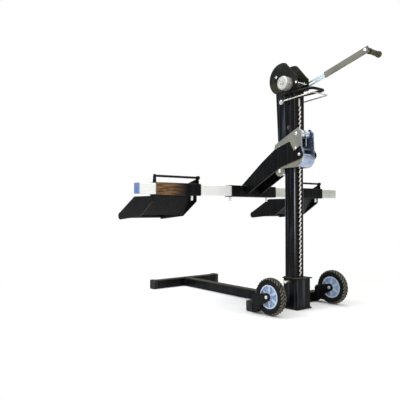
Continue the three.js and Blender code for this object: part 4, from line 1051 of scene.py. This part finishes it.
# %% [markdown]
# ## Handle, bail and rails
# The handle and the bail are bent from rod, so each is one sweep. The bail is a thin bright hoop that
# frees the latch. It hangs from two eyes, and an eye is a short turned ring. The cradles' rails are
# straight, so they are turned, each with a knob at one end.

# %% Push handle
HANDLE_RADIUS = 0.008
HANDLE_BEND = 0.025


def mirrored(points):
    return points + [(-x, y, z) for x, y, z in reversed(points)]


low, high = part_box("push_handle")
handle_x = low.x + HANDLE_RADIUS
handle_z = (low.z + high.z) / 2
handle_path = rounded_path(mirrored([
    (handle_x, high.y, handle_z),
    (handle_x, low.y + HANDLE_RADIUS, handle_z),
]), HANDLE_BEND)
form = sweep(bmesh.new(), handle_path, [HANDLE_RADIUS] * len(handle_path))
replace_part("push_handle", form, powder_coat)

# %% Release bail
BAIL_RADIUS = 0.004
BAIL_EYE = 0.013
BAIL_EYE_BORE = 0.0053
BAIL_EYE_REACH = 0.7
BAIL_NECK = 0.018
BAIL_JOG = 0.016
BAIL_BEND = 0.010
RING_STEPS = 48

low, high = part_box("release_bail")
bail_y = high.y - BAIL_EYE
bail_z = low.z + BAIL_EYE
bail_x = low.x + BAIL_RADIUS
bail_eye_x = (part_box("winch_bracket")[0].x - PART_GAP) - BAIL_RADIUS
bail_rear = low.y + BAIL_RADIUS
bail_rise = high.z - BAIL_RADIUS - bail_z


def bail_point(x, reach):
    """A point of the bail, so far behind its eyes."""
    return (x, bail_y - reach, bail_z + bail_rise * reach / (bail_y - bail_rear))


bail_path = rounded_path(mirrored([
    (bail_eye_x, bail_y - BAIL_EYE_REACH * BAIL_EYE, bail_z),
    bail_point(bail_eye_x, BAIL_NECK),
    bail_point(bail_x, BAIL_NECK + BAIL_JOG),
    (bail_x, bail_rear, bail_z + bail_rise),
]), BAIL_BEND)
form = sweep(bmesh.new(), bail_path, [BAIL_RADIUS] * len(bail_path))
eye_ring = cut_corners([
    (BAIL_EYE_BORE, -BAIL_RADIUS), (BAIL_EYE, -BAIL_RADIUS, FINE_CUT),
    (BAIL_EYE, BAIL_RADIUS, FINE_CUT), (BAIL_EYE_BORE, BAIL_RADIUS),
])
for side in (-1, 1):
    turn(form, eye_ring, (-side * bail_eye_x, bail_y, bail_z), RING_STEPS)
replace_part("release_bail", form, zincs["bail_zinc"])

# %% Bail bolts
BAIL_WASHER = 0.014
BAIL_WASHER_HEIGHT = 0.002
WASHER_INNER_EDGE = 0.0004
WASHER_OUTER_EDGE = 0.0006
BAIL_HEAD = 0.008
BAIL_HEAD_HEIGHT = 0.006
BAIL_NUT_HEIGHT = 0.005
BAIL_BOLT = 0.005

for node, side in (("bail_bolt_left", -1), ("bail_bolt_right", 1)):
    centre, low, high = axis_of(node)
    inner, outer = sorted((abs(low.x), abs(high.x)))
    washer_end = outer - BAIL_HEAD_HEIGHT
    washer_start = washer_end - BAIL_WASHER_HEIGHT
    washer_middle = side * (washer_start + BAIL_WASHER_HEIGHT / 2)
    washer = cut_corners([
        (0, side * washer_start), (BAIL_WASHER, side * washer_start, WASHER_INNER_EDGE),
        (BAIL_WASHER, side * washer_end, WASHER_OUTER_EDGE), (0, side * washer_end),
    ])
    form = turn(bmesh.new(), washer, centre)
    hexagon(form, centre, washer_middle, side * outer, BAIL_HEAD)
    rod(form, centre, side * inner, washer_middle, BAIL_BOLT)
    hexagon(form, centre, side * (inner + BAIL_NUT_HEIGHT), side * inner, BAIL_HEAD)
    replace_part(node, form, bright_steel)

# %% Cradle rails
RAIL_RADIUS = 0.0065
RAIL_KNOB = 0.011
RAIL_KNOB_LENGTH = 0.012
KNOB_OUTER_EDGE = 0.003

for node in ("cradle_rail_left", "cradle_rail_right"):
    low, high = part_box(node)
    knob = high.x - RAIL_KNOB_LENGTH
    turn_part(node, cut_corners([
        (0, low.x), (RAIL_RADIUS, low.x, FINE_CUT), (RAIL_RADIUS, knob),
        (RAIL_KNOB, knob, WIDE_CUT), (RAIL_KNOB, high.x, KNOB_OUTER_EDGE), (0, high.x),
    ]), powder_coat)

# %% [markdown]
# ## The winch
# The brake hub is the bright drum on the winch's left. Its face has a turned groove and a screw in the
# middle. Between the cheeks a spool holds the strap, and the strap's layers show as fine grooves.

# %% Brake hub
BRAKE_BORE = 0.0073
BRAKE_BOSS = 0.010
BRAKE_BOSS_LENGTH = 0.007
BRAKE_BOSS_EDGE = 0.002
DRUM_STEPS = 64

# The brake's face: how far in from the rim, and how far behind the face
BRAKE_FACE = [(0, 0.004), (0.0015, 0.0012), (0.004, 0), (0.009, 0), (0.010, 0.0015),
              (0.018, 0.0015), (0.019, 0)]

low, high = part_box("brake_hub")
brake_radius = (high.z - low.z) / 2
brake_face = low.x + BRAKE_BOSS_LENGTH
turn_part("brake_hub", cut_corners([
    (BRAKE_BORE, high.x), (brake_radius, high.x, FINE_CUT),
    *[(brake_radius - inward, brake_face + behind) for inward, behind in BRAKE_FACE],
    (BRAKE_BOSS, brake_face, FINE_CUT), (BRAKE_BOSS, low.x, BRAKE_BOSS_EDGE), (BRAKE_BORE, low.x),
]), zincs["brake_zinc"], DRUM_STEPS)

# %% Drum and its axle
DRUM_CORE = 0.020
DRUM_HALF_WIDTH = 0.0265
DRUM_FLANGE = 0.003
DRUM_HUB = 0.014
DRUM_BORE = 0.0063

low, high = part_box("strap_drum")
flange = (high.z - low.z) / 2
flange_side = DRUM_HALF_WIDTH + DRUM_FLANGE
drum_half = [
    (DRUM_BORE, high.x), (DRUM_HUB, high.x), (DRUM_HUB, flange_side),
    (flange - FINE_CUT, flange_side), (flange, DRUM_HALF_WIDTH + DRUM_FLANGE / 2),
    (flange - FINE_CUT, DRUM_HALF_WIDTH), (DRUM_CORE, DRUM_HALF_WIDTH),
]
turn_part("strap_drum", both_sides(drum_half), zinc_plate, DRUM_STEPS)

centre, low, high = axis_of("drum_axle")
replace_part("drum_axle", rod(bmesh.new(), centre, low.x, high.x, AXLE_RADIUS), zinc_plate)

# %% Wound strap
STRAP_LAYER = 0.0024
ROLL_BORE = 0.0203
ROLL_GROOVE_DEPTH = 0.0006
ROLL_GROOVE_HALF = 0.0004

low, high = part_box("strap_roll")
wound = (high.z - low.z) / 2 - ROLL_BORE
layers = max(1, round(wound / STRAP_LAYER))
groove_floor = high.x - ROLL_GROOVE_DEPTH
roll_half = [(ROLL_BORE, groove_floor)]
for index in range(layers):
    start = ROLL_BORE + wound * index / layers
    stop = ROLL_BORE + wound * (index + 1) / layers
    roll_half.append((start + ROLL_GROOVE_HALF, high.x))
    roll_half.append((stop - ROLL_GROOVE_HALF, high.x))
    roll_half.append((stop, groove_floor))
turn_part("strap_roll", both_sides(roll_half), webbing, DRUM_STEPS)

# %% [markdown]
# ### The lift strap
# The strap hangs from the drum to a lug on the carriage. On the real lift it gets longer as the
# carriage goes down; here it is one fixed piece that follows no body.
# Each edge of the webbing is a sewn, fatter rib.

# %% Lift strap
STRAP_ROWS = 48
STRAP_RIB = 0.003
STRAP_RIB_EDGE = 0.0008
STRAP_RIB_SLOPE = 0.001
STRAP_MIDDLE_SHARE = 0.72

low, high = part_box("lift_strap")
strap_half = STRAP_LAYER / 2
top_y = high.y - strap_half
foot_y = low.y + strap_half
side_x = (high.x - low.x) / 2
rib_x = side_x - STRAP_RIB
rib = [(side_x, 0), (side_x - STRAP_RIB_EDGE, strap_half), (rib_x, strap_half),
       (rib_x - STRAP_RIB_SLOPE, strap_half * STRAP_MIDDLE_SHARE)]
section = [(-x, y) for x, y in rib] + rib[::-1]
outline = section + [(x, -y) for x, y in reversed(section[1:-1])]
strap_form = bmesh.new()
rows = []
for row in range(STRAP_ROWS + 1):
    share = row / STRAP_ROWS
    z = high.z + (low.z - high.z) * share
    y = top_y + (foot_y - top_y) * share
    rows.append([strap_form.verts.new((x, y + dy, z)) for x, dy in outline])
join_rings(strap_form, rows)
strap_form.faces.new(rows[0])
strap_form.faces.new(rows[-1])
strap = add_piece("lift_strap_finished", strap_form, webbing, "carriage", ("lift_strap",))
strap.parent = None
strap.matrix_world = Matrix.Identity(4)
del strap["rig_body"]
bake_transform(strap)

# %% [markdown]
# ## The crank's grip
# The grip is a moulded sleeve that turns on a bolt. It narrows where the fingers close and ends in a
# fatter collar, which keeps a hand from sliding off.

# %% Grip and its bolt
GRIP_BORE = 0.0053
GRIP_NARROW = 0.015
GRIP_SWELL = 0.003
GRIP_SHAPE = [(0.0, 0.2), (0.008, 0.42), (0.02, 0.5), (0.08, 0.4), (0.16, 0.1), (0.23, -0.1),
              (0.3, -0.2), (0.45, -0.18), (0.6, -0.1), (0.74, 0.03), (0.84, 0.2), (0.865, 0.5),
              (0.89, 0.9), (0.92, 1.0), (0.97, 1.0), (0.99, 0.82), (1.0, 0.5)]
GRIP_BOLT = 0.005
GRIP_HEAD = 0.008
GRIP_HEAD_HEIGHT = 0.004
GRIP_COLLAR_LENGTH = 0.016

centre, low, high = axis_of("crank_grip")
length = high.x - low.x
skin = [(GRIP_NARROW + out * GRIP_SWELL, low.x + share * length) for share, out in GRIP_SHAPE]
grip_profile = [(GRIP_BORE, low.x), *skin, (GRIP_BORE, high.x)]
turn_part("crank_grip", grip_profile, grip_plastic, RING_STEPS)

collar_end = low.x - PART_GAP
low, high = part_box("grip_bolt")
form = hexagon(bmesh.new(), centre, low.x + GRIP_HEAD_HEIGHT, low.x, GRIP_HEAD)
rod(form, centre, low.x + GRIP_HEAD_HEIGHT / 2, high.x - GRIP_HEAD_HEIGHT / 2, GRIP_BOLT)
rod(form, centre, collar_end - GRIP_COLLAR_LENGTH, collar_end, GRIP_HEAD)
rod(form, centre, high.x - GRIP_HEAD_HEIGHT, high.x, GRIP_HEAD)
replace_part("grip_bolt", form, bright_steel)

# %% [markdown]
# ## Rollers, pins and clamp screws
# The two rollers run on the front and the back of the mast. The back one is waisted, so it clears the
# rack. The lock pin goes through the mast's foot, and the latch has a bright tail, bent back behind
# the roller. A clamp screw is a short knurled cylinder under each tube.

# %% Rollers
ROLLER_BORE = 0.0063
ROLLER_COLLAR = 0.010
ROLLER_LAND = 0.040
ROLLER_CORE = 0.011
WAIST_GAP = 0.0015
ROLLER_STEPS = 56

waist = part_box("latch_rack")[1].x + WAIST_GAP
for node in ("roller_rear", "roller_front"):
    low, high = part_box(node)
    radius = (high.z - low.z) / 2
    half = [(ROLLER_BORE, high.x), (ROLLER_COLLAR, high.x), (ROLLER_COLLAR, ROLLER_LAND),
            (radius, ROLLER_LAND, WIDE_CUT)]
    if node == "roller_rear":
        half += [(radius, waist, FINE_CUT), (ROLLER_CORE, waist)]
    turn_part(node, cut_corners(both_sides(half)), bright_steel, ROLLER_STEPS)

# %% Lock pin
LOCK_PIN = 0.008
LOCK_TIP_LENGTH = 0.004
LOCK_TIP_CUT = 0.003
LOCK_COLLAR = 0.012
LOCK_COLLAR_LENGTH = 0.004
LOCK_COLLAR_EDGE = 0.0008
SOCKET_FLANGE = 0.009

centre, low, high = axis_of("lock_pin")
turn_part("lock_pin", cut_corners([
    (0, low.x), (LOCK_PIN, low.x, WIDE_CUT),
    (LOCK_PIN, high.x - LOCK_TIP_LENGTH), (LOCK_PIN - LOCK_TIP_CUT, high.x), (0, high.x),
]), bright_steel)

collar_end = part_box("mast_socket")[0].x + SOCKET_FLANGE - PART_GAP
collar_start = collar_end - LOCK_COLLAR_LENGTH
collar_profile = cut_corners([
    (LOCK_PIN, collar_start), (LOCK_COLLAR, collar_start, LOCK_COLLAR_EDGE),
    (LOCK_COLLAR, collar_end), (LOCK_PIN, collar_end),
])
form = turn(bmesh.new(), collar_profile, centre)
add_piece("lock_pin_collar", form, powder_coat, body_of("lock_pin"))

# %% Latch tail
LATCH_PIN_HEAD = 0.008
LATCH_EYE = 0.010
TAIL_HALF_WIDTH = 0.0035
TAIL_THICKNESS = 0.003
TAIL_EDGE = 0.0006

# The tail's bends, (y, z) from the latch's eye
TAIL_PATH = [(-0.006, -0.004), (-0.030, 0.012), (-0.030, 0.060)]

eye_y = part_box("latch_pin")[0].y + LATCH_PIN_HEAD
eye_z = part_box("latch_pawl")[1].z - LATCH_EYE
form = bmesh.new()
sections = []
for tail_y, tail_z in TAIL_PATH:
    back = eye_y + tail_y
    outline = [(-TAIL_HALF_WIDTH, back), (TAIL_HALF_WIDTH, back),
               (TAIL_HALF_WIDTH, back + TAIL_THICKNESS), (-TAIL_HALF_WIDTH, back + TAIL_THICKNESS)]
    sections.append([form.verts.new((x, y, eye_z + tail_z)) for x, y in outline])
join_rings(form, sections)
form.faces.new(sections[0])
form.faces.new(sections[-1])
sharp = [edge for edge in form.edges if edge.calc_face_angle(0) > SHARP_ANGLE]
bmesh.ops.bevel(form, geom=sharp, offset=TAIL_EDGE, segments=EDGE_SEGMENTS, affect="EDGES")
add_piece("latch_tail", form, bright_steel, body_of("latch_pawl"))

# %% Clamp screws
CLAMP_SCREW = 0.006
CLAMP_HEAD = 0.007
CLAMP_HEAD_LENGTH = 0.026
KNURL_MARGIN = 0.004
KNURL_RINGS = 7
KNURL_DEPTH = 0.0004
KNURL_SHAPE = [(0, 0), (0.35, KNURL_DEPTH), (0.7, 0)]

pitch = (CLAMP_HEAD_LENGTH - 2 * KNURL_MARGIN) / KNURL_RINGS
for node in ("center_clamp_left", "center_clamp_right", "cradle_clamp_left", "cradle_clamp_right"):
    low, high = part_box(node)
    head_top = low.z + CLAMP_HEAD_LENGTH
    knurl = [(CLAMP_HEAD - depth, low.z + KNURL_MARGIN + (ring + share) * pitch)
             for ring in range(KNURL_RINGS) for share, depth in KNURL_SHAPE]
    profile = cut_corners([
        (0, low.z), (CLAMP_HEAD, low.z, FINE_CUT), *knurl, (CLAMP_HEAD, head_top, FINE_CUT),
        (CLAMP_SCREW, head_top), (CLAMP_SCREW, high.z), (0, high.z),
    ])
    centre = ((low.x + high.x) / 2, (low.y + high.y) / 2, 0)
    form = turn(bmesh.new(), profile, centre, axis=(0, 0, 1))
    replace_part(node, form, zincs["screw_zinc"])

# %% [markdown]
# ## Small fasteners and welds
# The last pieces are the ones that make it look built. Bolts hold the winch and its bracket, and a
# bead of weld runs along the main joints. A weld is laid in overlapping puddles, so the bead is a thin
# sweep whose radius swells at every puddle.

# %% Bolts of the bracket and the winch
SMALL_HEAD = 0.009
SMALL_HEAD_HEIGHT = 0.006
WASHER_RADIUS = 0.01215
WASHER_HEIGHT = 0.0016
BRACKET_BOLTS = {
    "bracket_bolts_upper": (1.170, powder_coat),
    "bracket_bolts_lower": (1.031, zincs["aged_bolt"]),
}
TIE_BOLT_PLACE = (0, 0.087, 1.336)
HUB_SCREW = 0.0062
HUB_SCREW_HEIGHT = 0.003

bracket_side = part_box("winch_bracket")[1].x
for name, (height, finish) in BRACKET_BOLTS.items():
    form = bmesh.new()
    centre = (0, 0, height)
    for side in (-1, 1):
        face = side * bracket_side
        washer = face + side * WASHER_HEIGHT
        ring = [(0, face), (WASHER_RADIUS, face), (WASHER_RADIUS, washer), (0, washer)]
        turn(form, ring, centre)
        hexagon(form, centre, washer - side * WASHER_HEIGHT / 2, washer + side * SMALL_HEAD_HEIGHT,
                SMALL_HEAD)
    add_piece(name, form, finish, "root")

cheek_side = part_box("winch_frame")[1].x
form = bmesh.new()
for side in (-1, 1):
    face = side * cheek_side
    hexagon(form, TIE_BOLT_PLACE, face, face + side * SMALL_HEAD_HEIGHT, SMALL_HEAD)
add_piece("winch_tie_bolt", form, bright_steel, "root")

centre, low, high = axis_of("brake_hub")
form = hexagon(bmesh.new(), centre, low.x + HUB_SCREW_HEIGHT, low.x, HUB_SCREW)
add_piece("brake_hub_screw", form, bright_steel, body_of("brake_hub"))

# %% Laying a weld
WELD_RADIUS = 0.0030
WELD_PUDDLE = 0.0042
WELD_SWELL = 0.20
WELD_WAVER = 0.06
WELD_STEPS_PER_PUDDLE = 3
WELD_FEWEST_STEPS = 6
WELD_SEEDS_PER_METRE = 10000
WELD_SIDES = 8


def lay_weld(form, start, end):
    """A bead from start to end, swelling once for each puddle."""
    first, last = Vector(start), Vector(end)
    puddles = round((last - first).length / WELD_PUDDLE)
    steps = max(WELD_FEWEST_STEPS, puddles * WELD_STEPS_PER_PUDDLE)
    path = [first.lerp(last, index / steps) for index in range(steps + 1)]
    wander = random.Random(round(first.length * WELD_SEEDS_PER_METRE))
    radii = []
    for index in range(len(path)):
        swell = WELD_SWELL * math.cos(math.tau * index / WELD_STEPS_PER_PUDDLE)
        radii.append(WELD_RADIUS * (1 + swell + wander.uniform(-WELD_WAVER, WELD_WAVER)))
    sweep(form, path, radii, WELD_SIDES)


def add_welds(name, lines, body):
    """One piece of all the beads that run along the given lines."""
    form = bmesh.new()
    for start, end in lines:
        lay_weld(form, start, end)
    add_piece(name, form, powder_coat, body)


# %% Welds of the base
LEG_WELD_RISE = 0.004
PLATE_TOP = 0.008
SHROUD_SIDE = 0.056
SHROUD_BACK = -0.067
SHROUD_FRONT = 0.026
FORK_SIDES = (0.234, 0.296)
FORK_WELD_Y = 0.0437
FORK_WELD_LOW = 0.012
FORK_WELD_HIGH = 0.056

leg_low, leg_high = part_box("base_leg")
rear_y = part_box("rear_cross_tube")[1].y + PART_GAP
foot_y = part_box("front_foot_bar")[0].y - PART_GAP
lines = []
for y in (rear_y, foot_y):
    lines.append(((leg_low.x, y, leg_high.z), (leg_high.x, y, leg_high.z)))
    for x in (leg_low.x, leg_high.x):
        lines.append(((x, y, leg_low.z + LEG_WELD_RISE), (x, y, leg_high.z)))
for x in (-SHROUD_SIDE, SHROUD_SIDE):
    lines.append(((x, SHROUD_BACK, PLATE_TOP), (x, SHROUD_FRONT, PLATE_TOP)))
lines.append(((-SHROUD_SIDE, SHROUD_BACK, PLATE_TOP), (SHROUD_SIDE, SHROUD_BACK, PLATE_TOP)))
for side in (-1, 1):
    for fork_side in FORK_SIDES:
        x = side * fork_side
        lines.append(((x, FORK_WELD_Y, FORK_WELD_LOW), (x, FORK_WELD_Y, FORK_WELD_HIGH)))
add_welds("base_welds", lines, "root")

# %% Welds of the arm and the cradles
ARM_KEEL = 0.021
CRADLE_WELD_INSET = 0.006
CRADLE_SIDE_INSET = 0.0065
CRADLE_WELD_BACK = 0.033
CRADLE_SIDE_START = 0.041
CRADLE_SIDE_END = 0.001

tube_low, tube_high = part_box("cross_tube_center")
arm_low, arm_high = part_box("lift_arm")
lines = []
for x in (arm_low.x, arm_high.x):
    lines.append(((x, tube_low.y, tube_low.z + ARM_KEEL), (x, tube_low.y, tube_high.z)))
    lines.append(((x, tube_low.y, tube_high.z), (x, arm_high.y, tube_high.z)))
add_welds("lift_arm_welds", lines, "carriage")

bottom = tube_low.z
back = tube_high.y - CRADLE_WELD_BACK
side_start = tube_low.y + CRADLE_SIDE_START
side_end = tube_high.y - CRADLE_SIDE_END
for side in ("left", "right"):
    low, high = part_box(f"cradle_{side}")
    left_end, right_end = low.x + CRADLE_WELD_INSET, high.x - CRADLE_WELD_INSET
    lines = [((left_end, back, bottom), (right_end, back, bottom))]
    for x in (low.x + CRADLE_SIDE_INSET, high.x - CRADLE_SIDE_INSET):
        lines.append(((x, side_start, bottom), (x, side_end, bottom)))
    add_welds(f"cradle_welds_{side}", lines, f"cradle_{side}")

# %% [markdown]
# ## Measuring and finishing
# The dressed lift must keep the size of the parts, so the dressed box is printed.

# %% Sizes and the end
low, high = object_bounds()
print("dressed box", [round(v, 4) for v in (*low, *high)])
